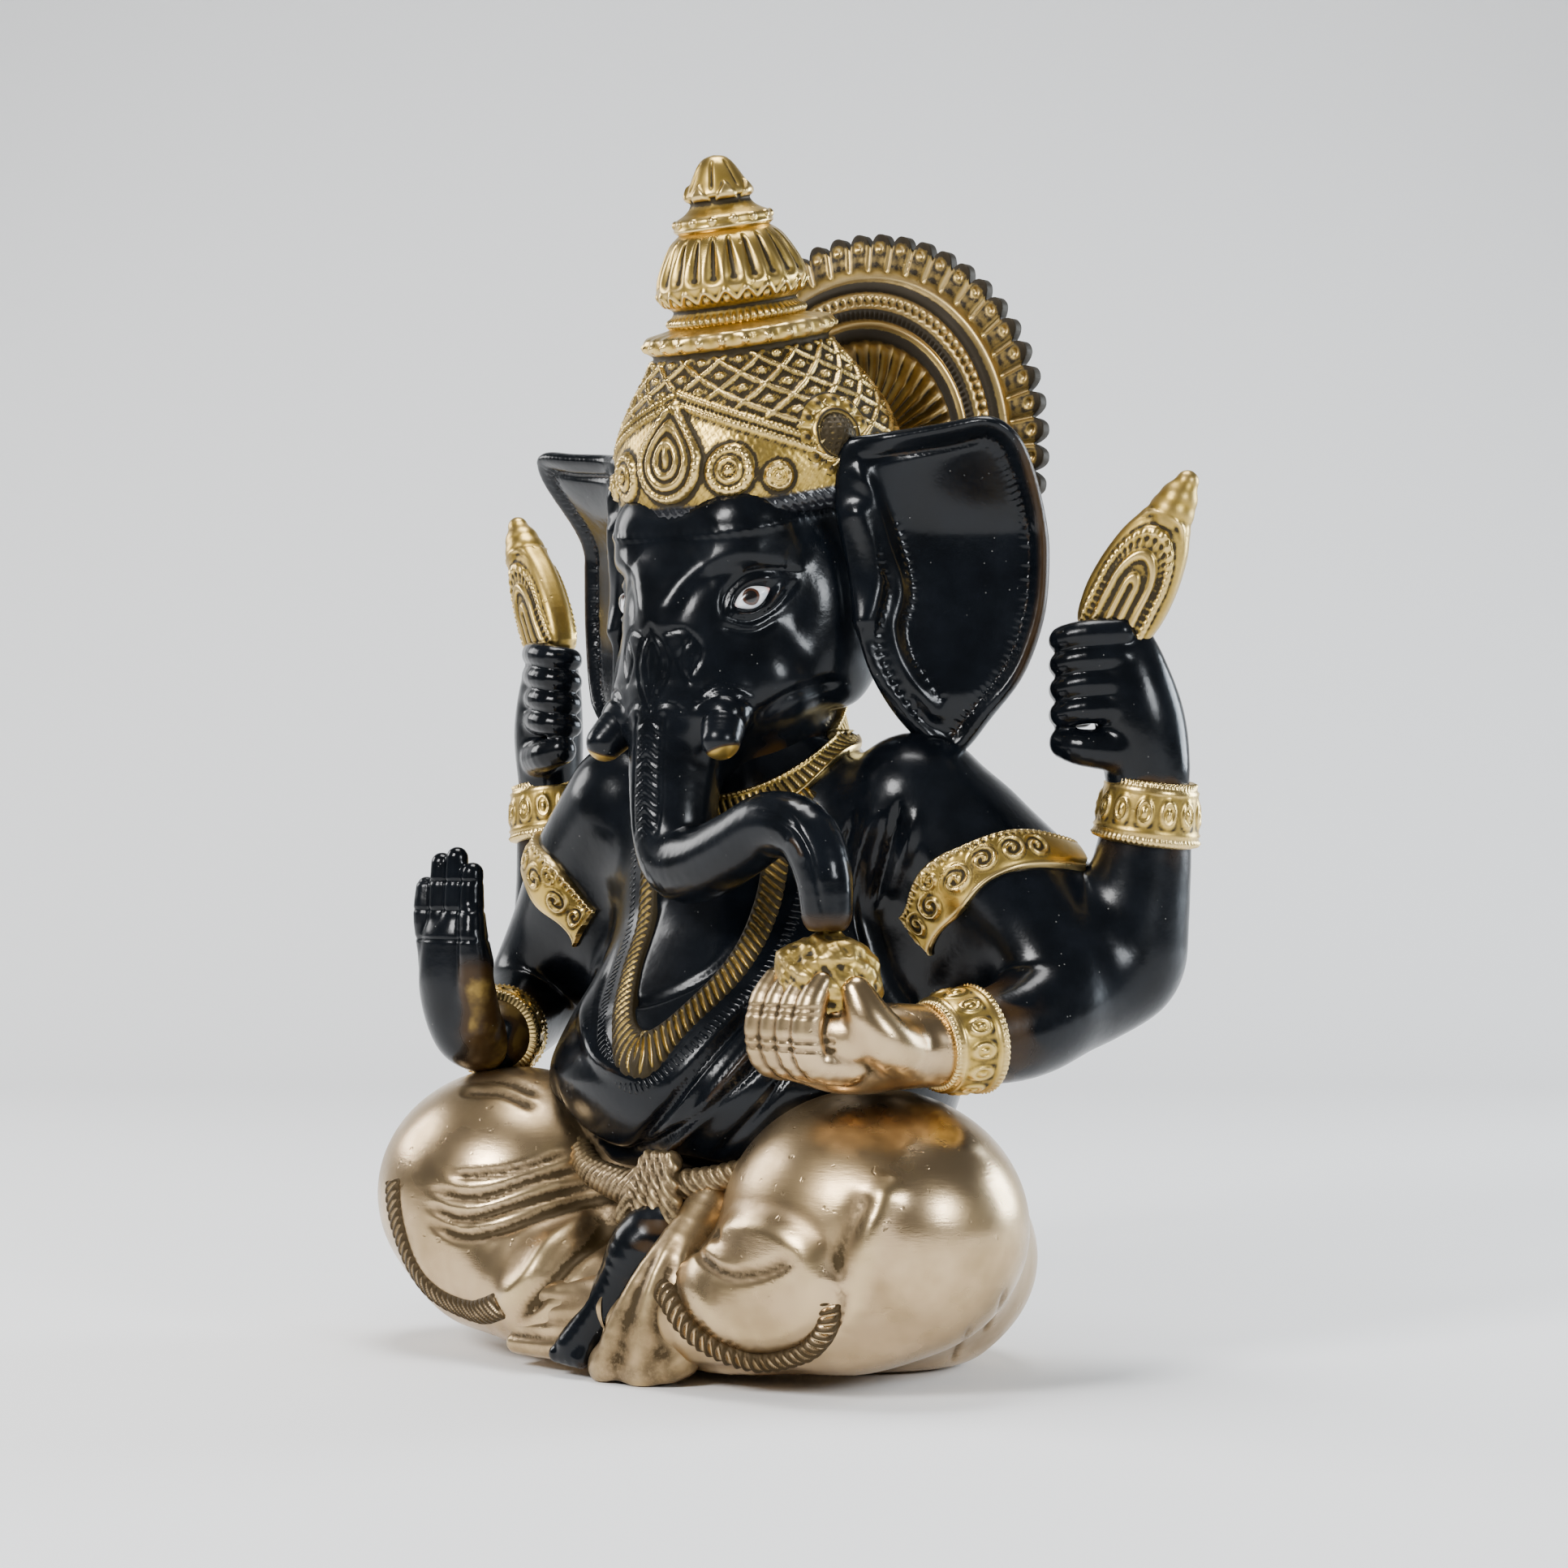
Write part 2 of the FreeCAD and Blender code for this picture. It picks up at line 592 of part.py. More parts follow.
# The other front hand lies palm up, its fingers curled round a ball of sweet.
sweet = sphere("sweet_ball", ("Dims.sweet_x", "Dims.sweet_y", "Dims.sweet_z"), "Dims.sweet_r")
HOLDING_PALM = [(61.2, -18, 66.3, 7.5), (56, -25, 66, 7.7), (48, -29.9, 65.8, 7.2), (41, -33, 66.6, 6.2)]
holding = chain("holding_heel", HOLDING_PALM)
for i in range(4):
    knuckle_x, knuckle_y = 35.0 + 5.0 * i, -40.5 - 0.8 * i
    curl = [
        (knuckle_x + 1, knuckle_y + 5.0, 64.5 + 0.1 * i, 4.15),
        (knuckle_x, knuckle_y - 1.0, 68.5, 2.9),
        (knuckle_x + 0.6, knuckle_y - 2.2, 74.5, 2.7),
        (knuckle_x + 1.4, knuckle_y - 0.53, 79.0, 2.5),
    ]
    holding += chain(f"holding_finger{i}", curl)
holding += chain("holding_thumb", [(58, -29, 67, 4.4), (60.5, -36, 72.13, 3.3), (58.5, -37.5, 78, 2.9)])
holding_hand = fuse("holding_hand_whole", holding)
keep("left_front_hand", cut_by("holding_hand_trim", holding_hand, [sweet, left_front]))
keep("sweet", cut("sweet_trim", sweet, trunk_whole))

# ---------------------------------------------------------------- cuffs and armlets


def band_on(label, limb_name, a, b, share, width, loft, sign=1, others=()):
    """A raised metal band round a limb, between stations a and b, with the limb taken out of it."""
    pa, ra = station(a, sign)
    pb, rb = station(b, sign)
    centre = pa + (pb - pa) * share
    radius = ra + (rb - ra) * share + dim("band_rise")
    along = (pb - pa).normalize()
    outer = rod(f"{label}_blank", centre - along * (width / 2), centre + along * (width / 2), radius, radius)
    keep(label, cut_by(f"{label}_trim", outer, [loft, *others]))


lower_and_torso = [torso_outer, lower_outer]
cuff = dim("cuff_width")
around_left_cuff = lower_and_torso + [holding_hand]
band_on("left_front_cuff", "left_front", "forearm", "wrist", 0.72, cuff, left_front, 1, around_left_cuff)
band_on("right_front_cuff", "right_front", "raised_forearm", "raised_wrist", 0.72, cuff * 0.8, right_front, -1,
        lower_and_torso + [raised_hand])
for side, sign, front in (("left", 1, left_front), ("right", -1, right_front)):
    whole_fist = left_fist if side == "left" else right_fist
    rear_arm = rear_lofts[side]
    band_on(f"{side}_rear_cuff", side, "rear_forearm", "rear_wrist", 0.8, cuff * 1.2, rear_arm, sign, [whole_fist])
    band_on(f"{side}_armlet", side, "upper_arm", "elbow", 0.3, dim("armlet_width"), front, sign,
            [rear_lofts[side], torso_outer, head_outer])

# ---------------------------------------------------------------- necklace, collar and waist tie

def forward_prism(name, outline):
    """A front-view outline of (x, z) points, carried forward from the middle plane past the figure."""
    body, sketch = body_with_sketch(name, "XZ_Plane")
    closed_outline(sketch, outline)
    pad = body.newObject("PartDesign::Pad", f"{name}_pad")
    pad.Profile = sketch
    pad.Length = 70
    return body


NECKLACE_OUTER = [
    (-24, 119), (-20.5, 104), (-19, 91), (-16, 77), (-9, 65), (0, 58.5),
    (9, 65), (16, 77), (19, 91), (20.5, 104), (24, 119),
]
NECKLACE_INNER = [
    (16.5, 119), (13.8, 104), (12.3, 92), (10, 80.5), (4.5, 72), (0, 68),
    (-4.5, 72), (-10, 80.5), (-12.3, 92), (-13.8, 104), (-16.5, 119),
]
SASH = [(40, 108), (20, 84), (-6, 62), (-38, 46), (-40, 54), (-12, 69), (12, 90), (31, 113)]
LEFT_HEM = [(15, 34), (17, 18), (27, 6), (42, 6), (54, 15), (58, 27), (53, 25), (48, 16), (39, 11), (29, 11), (21, 20), (20, 34)]
RIGHT_HEM = [(-73, 34), (-62, 18), (-44, 7), (-24, 4), (-24, 9), (-43, 12), (-58, 22), (-69, 37)]
raised_skin = cut("raised_skin", stack("necklace_skin", "torso", "Dims.necklace_rise"), torso_outer)
sash_skin = cut("sash_layer", stack("sash_skin", "torso", "Dims.sash_rise"), torso_outer)
hem_skin = cut("hem_layer", seat_block("hem_skin", 1 + dim("hem_rise")), lower_outer)
necklace_way = forward_prism("necklace_outline", NECKLACE_OUTER + NECKLACE_INNER)
FRONT_CUTTERS = [head_outer, trunk_whole, left_front, right_front]
keep("necklace", cut_by("necklace_trim", common("necklace_cut", raised_skin, necklace_way), FRONT_CUTTERS))
sash_strip = common("sash_cut", sash_skin, forward_prism("sash_outline", SASH))
keep("sash", cut_by("sash_trim", sash_strip, [necklace_way, head_outer, trunk_whole, left_front, right_front]))
for hem_name, hem_outline in (("left_hem", LEFT_HEM), ("right_hem", RIGHT_HEM)):
    strip = common(f"{hem_name}_cut", hem_skin, forward_prism(f"{hem_name}_outline", hem_outline))
    keep(hem_name, cut_by(f"{hem_name}_trim", strip, [foot, toes, drape_whole, torso_outer]))
collar_blank = rod("collar_blank", Vector(0, 5, 118.5), Vector(0, 2, 126), 27.0, 23.0)
COLLAR_CUTTERS = [head_outer, torso_outer, trunk_whole, ear_body, raised_skin, left_front, right_front]
keep("collar", cut_by("collar_trim", collar_blank, COLLAR_CUTTERS + [mirrored("right_ear_whole", ear_body)]))

doc.recompute()

# ---------------------------------------------------------------- checks and export

bad = [o.Name for o in doc.Objects if "Invalid" in o.State or "Error" in o.State]
for name in bad:
    print(name, doc.getObject(name).getStatusString())
if bad:
    raise RuntimeError(f"these objects failed: {bad}")
SMALLEST_SOLID = 0.5


def open_edges(solid):
    """How many edges of a fine mesh of the solid don't join exactly two triangles."""
    seen = {}
    for a, b, c in solid.tessellate(0.1)[1]:
        for edge in ((a, b), (b, c), (c, a)):
            key = (min(edge), max(edge))
            seen[key] = seen.get(key, 0) + 1
    return sum(1 for count in seen.values() if count != 2)


os.makedirs("parts", exist_ok=True)
for label, thing in nodes.items():
    solids = [s for s in thing.Shape.Solids if s.Volume > SMALLEST_SOLID]
    if thing.Shape.isNull() or not solids or not all(s.isValid() for s in solids):
        raise RuntimeError(f"{label} has no valid solid")
    gaps = sum(open_edges(s) for s in solids)
    if gaps:
        print(f"{label} has {gaps} open edges")
    shape = solids[0] if len(solids) == 1 else Part.makeCompound(solids)
    shape.exportStep(f"parts/{label}.step")
    box = shape.optimalBoundingBox()
    print(
        f"{label:18s} solids {len(solids)} volume {shape.Volume:9.0f} mm3"
        f"  x {box.XMin:6.1f} {box.XMax:6.1f}  y {box.YMin:6.1f} {box.YMax:6.1f}  z {box.ZMin:6.1f} {box.ZMax:6.1f}"
    )
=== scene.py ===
import json
import math

import bpy
import numpy as np
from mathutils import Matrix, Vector

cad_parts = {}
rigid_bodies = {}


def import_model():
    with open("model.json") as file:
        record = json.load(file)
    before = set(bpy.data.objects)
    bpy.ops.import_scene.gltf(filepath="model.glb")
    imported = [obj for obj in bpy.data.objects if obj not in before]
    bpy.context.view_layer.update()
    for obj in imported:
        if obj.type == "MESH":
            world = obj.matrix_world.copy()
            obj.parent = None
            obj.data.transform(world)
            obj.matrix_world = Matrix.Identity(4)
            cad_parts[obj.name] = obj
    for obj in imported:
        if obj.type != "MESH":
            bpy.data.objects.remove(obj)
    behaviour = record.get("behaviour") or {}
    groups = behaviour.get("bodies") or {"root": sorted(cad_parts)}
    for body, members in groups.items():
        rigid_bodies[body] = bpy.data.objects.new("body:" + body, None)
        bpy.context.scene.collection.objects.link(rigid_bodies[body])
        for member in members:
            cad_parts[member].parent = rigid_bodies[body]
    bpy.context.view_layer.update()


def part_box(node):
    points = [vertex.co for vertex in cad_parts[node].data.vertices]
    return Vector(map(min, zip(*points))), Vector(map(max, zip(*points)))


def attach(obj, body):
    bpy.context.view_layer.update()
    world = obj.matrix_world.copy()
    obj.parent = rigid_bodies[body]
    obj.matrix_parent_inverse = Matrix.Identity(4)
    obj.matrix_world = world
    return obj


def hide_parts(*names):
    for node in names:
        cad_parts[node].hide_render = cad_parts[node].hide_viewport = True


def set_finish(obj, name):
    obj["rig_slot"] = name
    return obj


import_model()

# The figurine is sculpted here in millimetres, in the record's frame, and scaled to metres when a mesh
# is made.
MM = 0.001
SIDES = ((1, "left"), (-1, "right"))      # the figure's own left hand side is +X
FINE = 1.0

RIGHT_OF_VIEW = np.array([0.788, 0.616, 0.0])     # the horizontal direction across the three-quarter view
AWAY = np.array([-0.616, 0.788, 0.0])             # from the viewer into the picture


def node_box(node):
    """A CAD node's lowest and highest corners, in millimetres."""
    low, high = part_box(node)
    return np.array(low) / MM, np.array(high) / MM


def middle(node):
    low, high = node_box(node)
    return (low + high) / 2


# ---------------------------------------------------------------- small maths

def smooth_min(a, b, k):
    """The smaller of two distances, rounded where they meet over a width k."""
    if k <= 0:
        return np.minimum(a, b)
    mix = np.clip(0.5 + 0.5 * (b - a) / k, 0, 1)
    return b + (a - b) * mix - k * mix * (1 - mix)


def smooth_max(a, b, k):
    return -smooth_min(-a, -b, k)


def ramp(x, start, end):
    """0 before start, 1 after end, eased between."""
    t = np.clip((x - start) / (end - start), 0, 1)
    return t * t * (3 - 2 * t)


def bump(x, width):
    """1 at zero, falling to nothing over a few widths."""
    return np.exp(-((x / width) ** 2))


def unit(v):
    v = np.asarray(v, float)
    return v / np.linalg.norm(v, axis=-1, keepdims=True)


def curve(points, count, closed=False):
    """A smooth curve through points (Catmull-Rom), sampled evenly by index."""
    points = np.asarray(points, float)
    n = len(points)
    spans = n if closed else n - 1
    t = np.linspace(0, spans, count, endpoint=not closed)
    i = np.minimum(t.astype(int), spans - 1)
    f = (t - i)[:, None]

    def pick(k):
        return points[k % n] if closed else points[np.clip(k, 0, n - 1)]

    a, b, c, d = pick(i - 1), pick(i), pick(i + 1), pick(i + 2)
    return 0.5 * (2 * b + (c - a) * f + (2 * a - 5 * b + 4 * c - d) * f**2 + (3 * b - a - 3 * c + d) * f**3)


def path_distance(p, path):
    """Distance from points to a polyline, with how far along the polyline (0 to 1) the nearest place is."""
    best = np.full(p.shape[:-1], 1e9)
    along = np.zeros(p.shape[:-1])
    last = len(path) - 1
    for i in range(last):
        a, ab = path[i], path[i + 1] - path[i]
        length = float(ab @ ab) or 1e-9
        t = np.clip(((p - a) @ ab) / length, 0, 1)
        d = np.linalg.norm(p - a - t[..., None] * ab, axis=-1)
        nearer = d < best
        best = np.where(nearer, d, best)
        along = np.where(nearer, (i + t) / last, along)
    return best, along


def noise(p, scale, seed=0):
    """Soft deterministic noise in -1..1: a sum of slanted waves."""
    rng = np.random.default_rng(seed)
    total = np.zeros(p.shape[:-1])
    for _ in range(9):
        way = unit(rng.normal(size=3)) * rng.uniform(0.6, 1.6) / scale
        total += np.sin(p @ way * 2 * np.pi + rng.uniform(0, 2 * np.pi))
    return total / 9 * 1.8


# ---------------------------------------------------------------- clay: shapes as distances on a grid

EMPTY = 60.0      # the distance a block starts with, before any shape is near


class Clay:
    """A block of distance samples: shapes are added and carved, then its surface is meshed."""

    def __init__(self, low, high, step):
        self.step = step * FINE
        self.low = np.array(low, float)
        self.axes = [np.arange(a, b + self.step, self.step, dtype=np.float32) for a, b in zip(low, high)]
        self.d = np.full([len(a) for a in self.axes], EMPTY, np.float32)

    @classmethod
    def over(cls, axes, step, distances):
        """A block made from distances already worked out over its axes."""
        clay = cls.__new__(cls)
        clay.step, clay.axes = step, axes
        clay.low = np.array([axis[0] for axis in axes])
        clay.d = distances.astype(np.float32)
        return clay

    def _window(self, low, high):
        cuts = []
        for axis, a, b in zip(self.axes, low, high):
            cuts.append(slice(int(np.searchsorted(axis, a)), int(np.searchsorted(axis, b))))
        x, y, z = (axis[c] for axis, c in zip(self.axes, cuts))
        return tuple(cuts), x[:, None, None], y[None, :, None], z[None, None, :]

    def _blend(self, cuts, value, blend, carve=False):
        old = self.d[cuts]
        self.d[cuts] = smooth_max(old, -value, blend) if carve else smooth_min(old, value, blend)

    def egg(self, centre, radii, blend=0.0, turn=0.0, carve=False):
        """An ellipsoid, turned about Z by turn degrees."""
        centre, radii = np.array(centre, float), np.array(radii, float)
        reach = radii.max() + 3 * blend + 2
        cuts, x, y, z = self._window(centre - reach, centre + reach)
        c, s = math.cos(math.radians(turn)), math.sin(math.radians(turn))
        x, y, z = x - centre[0], y - centre[1], z - centre[2]
        x, y = x * c + y * s, y * c - x * s
        near = np.sqrt((x / radii[0]) ** 2 + (y / radii[1]) ** 2 + (z / radii[2]) ** 2)
        steep = np.sqrt((x / radii[0] ** 2) ** 2 + (y / radii[1] ** 2) ** 2 + (z / radii[2] ** 2) ** 2)
        self._blend(cuts, near * (near - 1) / np.maximum(steep, 1e-4), blend, carve)

    def tube(self, stations, blend=0.0, samples=14, flat=None):
        """A round limb through (x, y, z, radius) stations. flat=(direction, share) thins it that way."""
        path = curve(stations, samples) if len(stations) > 2 else np.asarray(stations, float)
        reach = path[:, 3].max() + 3 * blend + 2
        cuts, x, y, z = self._window(path[:, :3].min(0) - reach, path[:, :3].max(0) + reach)
        value = None
        for a, b in zip(path, path[1:]):
            ab = b[:3] - a[:3]
            length = float(ab @ ab) or 1e-9
            px, py, pz = x - a[0], y - a[1], z - a[2]
            t = np.clip((px * ab[0] + py * ab[1] + pz * ab[2]) / length, 0, 1)
            qx, qy, qz = px - t * ab[0], py - t * ab[1], pz - t * ab[2]
            square = qx * qx + qy * qy + qz * qz
            if flat is not None:
                way, share = flat
                lean = qx * way[0] + qy * way[1] + qz * way[2]
                square = square + lean * lean * (1 / share**2 - 1)
            d = np.sqrt(square) - (a[3] + (b[3] - a[3]) * t)
            value = d if value is None else np.minimum(value, d)
        self._blend(cuts, value, blend)

    def stack(self, sections):
        """A smooth body through level ovals (z, half width, half depth, middle y)."""
        sections = np.array(sections, float)
        line = curve(sections, 160)
        cuts, x, y, z = self._window((-1e3, -1e3, sections[0, 0]), (1e3, 1e3, sections[-1, 0]))
        level = z[0, 0, :]
        wide, deep, back = (np.interp(level, line[:, 0], line[:, k]) for k in (1, 2, 3))
        y = y - back
        near = np.sqrt((x / wide) ** 2 + (y / deep) ** 2)
        steep = np.sqrt((x / wide**2) ** 2 + (y / deep**2) ** 2)
        self._blend(cuts, near * (near - 1) / np.maximum(steep, 1e-4), 0.0)

    def halfspace(self, way, offset, blend=0.0):
        """Keeps only what lies on the side where way . point < offset."""
        shapes = ((-1, 1, 1), (1, -1, 1), (1, 1, -1))
        x, y, z = (axis.reshape(shape) for axis, shape in zip(self.axes, shapes))
        self.d = smooth_max(self.d, x * way[0] + y * way[1] + z * way[2] - offset, blend)

    def sample(self, p):
        """The distance at any points, between the grid's samples."""
        g = (np.asarray(p, float) - self.low) / self.step
        g = np.clip(g, 0, np.array(self.d.shape) - 1.001)
        i = g.astype(int)
        f = g - i
        total = 0
        for corner in range(8):
            o = np.array([corner & 1, corner >> 1 & 1, corner >> 2 & 1])
            w = np.prod(np.where(o, f, 1 - f), axis=-1)
            j = i + o
            total = total + w * self.d[j[..., 0], j[..., 1], j[..., 2]]
        return total

    def normal(self, p):
        e = self.step
        steps = np.eye(3) * e
        return unit(np.stack([self.sample(p + s) - self.sample(p - s) for s in steps], axis=-1) + 1e-9)

    def settle(self, p, rounds=4):
        """Moves points onto the surface along its own normal."""
        p = np.array(p, float)
        for _ in range(rounds):
            p = p - self.normal(p) * self.sample(p)[..., None]
        return p

    def land(self, p, way, far=60.0):
        """Moves points from outside along way until they meet the surface."""
        p = np.array(p, float) - np.asarray(way) * far
        moved = np.zeros(p.shape[:-1])
        for _ in range(90):
            d = self.sample(p + moved[..., None] * way)
            moved = np.where((d > 0.02) & (moved < 2 * far), moved + np.maximum(d * 0.7, 0.03), moved)
        return p + moved[..., None] * way

    def mesh(self):
        """The zero surface as vertices and quads, by surface nets."""
        d = self.d
        inside = d < 0
        n = np.array(d.shape) - 1
        corner_cuts = [tuple(slice(o, o + m) for o, m in zip(c, n)) for c in np.ndindex(2, 2, 2)]
        count = sum(inside[c].astype(np.int8) for c in corner_cuts)
        cells = np.argwhere((count > 0) & (count < 8))
        values = np.stack([d[tuple((cells + np.array(c)).T)] for c in np.ndindex(2, 2, 2)], axis=1)
        corners = np.array(list(np.ndindex(2, 2, 2)), float)
        total = np.zeros((len(cells), 3))
        hits = np.zeros(len(cells))
        for a in range(8):
            for bit in (1, 2, 4):
                b = a | bit
                if b == a:
                    continue
                va, vb = values[:, a], values[:, b]
                crossed = (va < 0) != (vb < 0)
                t = np.where(crossed, va / np.where(crossed, va - vb, 1), 0)
                total += np.where(crossed[:, None], corners[a] + t[:, None] * (corners[b] - corners[a]), 0)
                hits += crossed
        points = (cells + total / hits[:, None]) * self.step + self.low
        index = np.full(n, -1, np.int64)
        index[tuple(cells.T)] = np.arange(len(cells))
        quads = []
        for axis in range(3):
            u, v = (axis + 1) % 3, (axis + 2) % 3
            here = [slice(1, -1)] * 3
            here[axis] = slice(0, -1)
            there = list(here)
            there[axis] = slice(1, None)
            a, b = inside[tuple(here)], inside[tuple(there)]
            base = np.argwhere(a != b)
            flip = a[tuple(base.T)]
            base[:, u] += 1
            base[:, v] += 1
            ring = []
            for du, dv in ((-1, -1), (0, -1), (0, 0), (-1, 0)):
                cell = base.copy()
                cell[:, u] += du
                cell[:, v] += dv
                ring.append(index[tuple(cell.T)])
            ring = np.stack(ring, axis=1)
            ring[~flip] = ring[~flip][:, ::-1]
            quads.append(ring)
        quads = np.concatenate(quads)
        return points, quads[(quads >= 0).all(axis=1)]


# ---------------------------------------------------------------- meshes

def vertex_normals(points, quads):
    a, b, c, d = (points[quads[:, i]] for i in range(4))
    face = np.cross(c - a, d - b)
    total = np.zeros_like(points)
    for i in range(4):
        for axis in range(3):
            total[:, axis] += np.bincount(quads[:, i], face[:, axis], len(points))
    return unit(total + 1e-12)


def neighbour_mean(values, quads, count):
    """The average of each vertex's neighbours round its quads."""
    total = np.zeros((count,) + values.shape[1:])
    hits = np.zeros(count)
    for i in range(4):
        for j in (1, 3):
            here, there = quads[:, i], quads[:, (i + j) % 4]
            hits += np.bincount(here, minlength=count)
            if values.ndim == 1:
                total += np.bincount(here, values[there], count)
            else:
                for axis in range(values.shape[1]):
                    total[:, axis] += np.bincount(here, values[there][:, axis], count)
    hits = np.maximum(hits, 1)
    return total / (hits if values.ndim == 1 else hits[:, None])


def hollows(points, quads, normals, rounds=5):
    """How hollow (positive) or proud (negative) the surface is round each vertex, in millimetres."""
    soft = points
    for _ in range(rounds):
        soft = neighbour_mean(soft, quads, len(points))
    bent = ((soft - points) * normals).sum(axis=1)
    for _ in range(2):
        bent = neighbour_mean(bent, quads, len(points))
    return bent


def relax(points, quads, rounds):
    """Evens out a mesh by moving each vertex halfway to its neighbours' average."""
    for _ in range(rounds):
        points = (points + neighbour_mean(points, quads, len(points))) / 2
    return points


def add_object(name, data):
    obj = bpy.data.objects.new(name, data)
    bpy.context.collection.objects.link(obj)
    return obj


def add_piece(name, nodes, slot, points, quads, extra=(), caps=(), depth=0.18, seam_normals=None):
    """Makes the Blender object of a piece from points in millimetres, its ends closed by caps.

    Its vertices carry how hollow and how proud they are, full at depth millimetres, and the extra attributes.
    """
    normals = vertex_normals(points, quads)
    bent = hollows(points, quads, normals)
    mesh = bpy.data.meshes.new(name)
    mesh.vertices.add(len(points))
    mesh.vertices.foreach_set("co", (points * MM).astype(np.float32).ravel())
    loops = np.concatenate([quads.ravel(), *caps]).astype(np.int32)
    sides = np.array([4] * len(quads) + [len(cap) for cap in caps])
    starts = np.cumsum(sides) - sides
    mesh.loops.add(len(loops))
    mesh.loops.foreach_set("vertex_index", loops)
    mesh.polygons.add(len(starts))
    mesh.polygons.foreach_set("loop_start", starts.astype(np.int32))
    mesh.polygons.foreach_set("use_smooth", np.ones(len(starts), bool))
    mesh.update(calc_edges=True)
    mesh.validate()
    layers = {"hollow": np.clip(bent / depth, 0, 1), "proud": np.clip(-bent / depth, 0, 1)}
    layers.update(dict(extra))
    for layer, values in layers.items():
        values = np.broadcast_to(values, len(points)).astype(np.float32)
        mesh.attributes.new(layer, "FLOAT", "POINT").data.foreach_set("value", values)
    if seam_normals is not None:
        mesh.normals_split_custom_set_from_vertices(seam_normals)
    obj = add_object(name, mesh)
    mesh.materials.append(MATERIALS[slot])
    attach(obj, "root")
    if nodes:
        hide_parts(*nodes)
    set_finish(obj, slot)
    return obj


def grid_quads(rows, columns, wrap=True):
    """Quads over a rows x columns grid of points, closed round the columns if wrap."""
    i = np.arange(rows - 1)[:, None]
    j = np.arange(columns if wrap else columns - 1)[None, :]
    k = (j + 1) % columns
    corners = [i * columns + j, i * columns + k, (i + 1) * columns + k, (i + 1) * columns + j]
    return np.stack([np.broadcast_to(c, (rows - 1, j.shape[1])).ravel() for c in corners], axis=1)


def on_side(side, points, quads):
    """A left piece's mesh, mirrored if side is -1."""
    return (points, quads) if side == 1 else (points * np.array([-1, 1, 1]), quads[:, ::-1])


def add_grid(name, nodes, slot, grid, wrap=True, extra=(), depth=0.18):
    """A piece from a grid of points (rows, columns, 3), its first and last rows capped if it wraps."""
    rows, columns = grid.shape[:2]
    quads = grid_quads(rows, columns, wrap)
    ends = ()
    if wrap:
        ends = (np.arange(columns)[::-1], np.arange(columns) + (rows - 1) * columns)
    flat_extra = {k: np.broadcast_to(v, (rows, columns)).ravel() for k, v in dict(extra).items()}
    return add_piece(name, nodes, slot, grid.reshape(-1, 3), quads, flat_extra, ends, depth)


# ---------------------------------------------------------------- materials

def new_material(name):
    material = bpy.data.materials.new(name)
    material.use_nodes = True
    tree = material.node_tree
    shader = next(n for n in tree.nodes if n.type == "BSDF_PRINCIPLED")
    return material, tree, shader


def feed(tree, socket, value):
    """Links a socket to another's output, or sets its value."""
    if isinstance(value, bpy.types.NodeSocket):
        tree.links.new(value, socket)
    else:
        socket.default_value = value


def make(tree, kind, **inputs):
    """A shader node with its inputs set, by name or by number after an underscore."""
    node = tree.nodes.new(kind)
    for key, value in inputs.items():
        socket = node.inputs[int(key[1:])] if key[0] == "_" else node.inputs[key.replace("_", " ")]
        feed(tree, socket, value)
    return node


def attribute(tree, name):
    node = tree.nodes.new("ShaderNodeAttribute")
    node.attribute_name = name
    return node.outputs["Fac"]


def speckle(tree, scale, detail=4.0, rough=0.6, stretch=None):
    """Noise over the piece in its own space, stretched if asked."""
    place = make(tree, "ShaderNodeTexCoord").outputs["Object"]
    if stretch:
        place = make(tree, "ShaderNodeMapping", Vector=place, Scale=stretch).outputs[0]
    cloud = make(tree, "ShaderNodeTexNoise", Vector=place, Scale=scale, Detail=detail, Roughness=rough)
    return cloud.outputs["Fac"]


def limits(tree, value, low, high, out_low=0.0, out_high=1.0):
    """Eased remap of a value from low..high."""
    node = make(tree, "ShaderNodeMapRange", _0=value, _1=low, _2=high, _3=out_low, _4=out_high)
    node.interpolation_type = "SMOOTHSTEP"
    return node.outputs[0]


def maths(tree, operation, a, b=0.0, clamp=False):
    node = make(tree, "ShaderNodeMath", _0=a, _1=b)
    node.operation = operation
    node.use_clamp = clamp
    return node.outputs[0]


def mix_node(tree, kind, first, share, a, b):
    """A mix node of one kind: its two values go in at socket number first and the next."""
    node = tree.nodes.new("ShaderNodeMix")
    node.data_type = kind
    for number, value in ((0, share), (first, a), (first + 1, b)):
        feed(tree, node.inputs[number], value)
    return node


def blend_colours(tree, share, a, b):
    return mix_node(tree, "RGBA", 6, share, a, b).outputs[2]


def blend_values(tree, share, a, b):
    return mix_node(tree, "FLOAT", 2, share, a, b).outputs[0]


def bump_up(tree, shader, height, strength, distance):
    node = make(tree, "ShaderNodeBump", Strength=strength, Distance=distance, Height=height)
    tree.links.new(node.outputs[0], shader.inputs["Normal"])


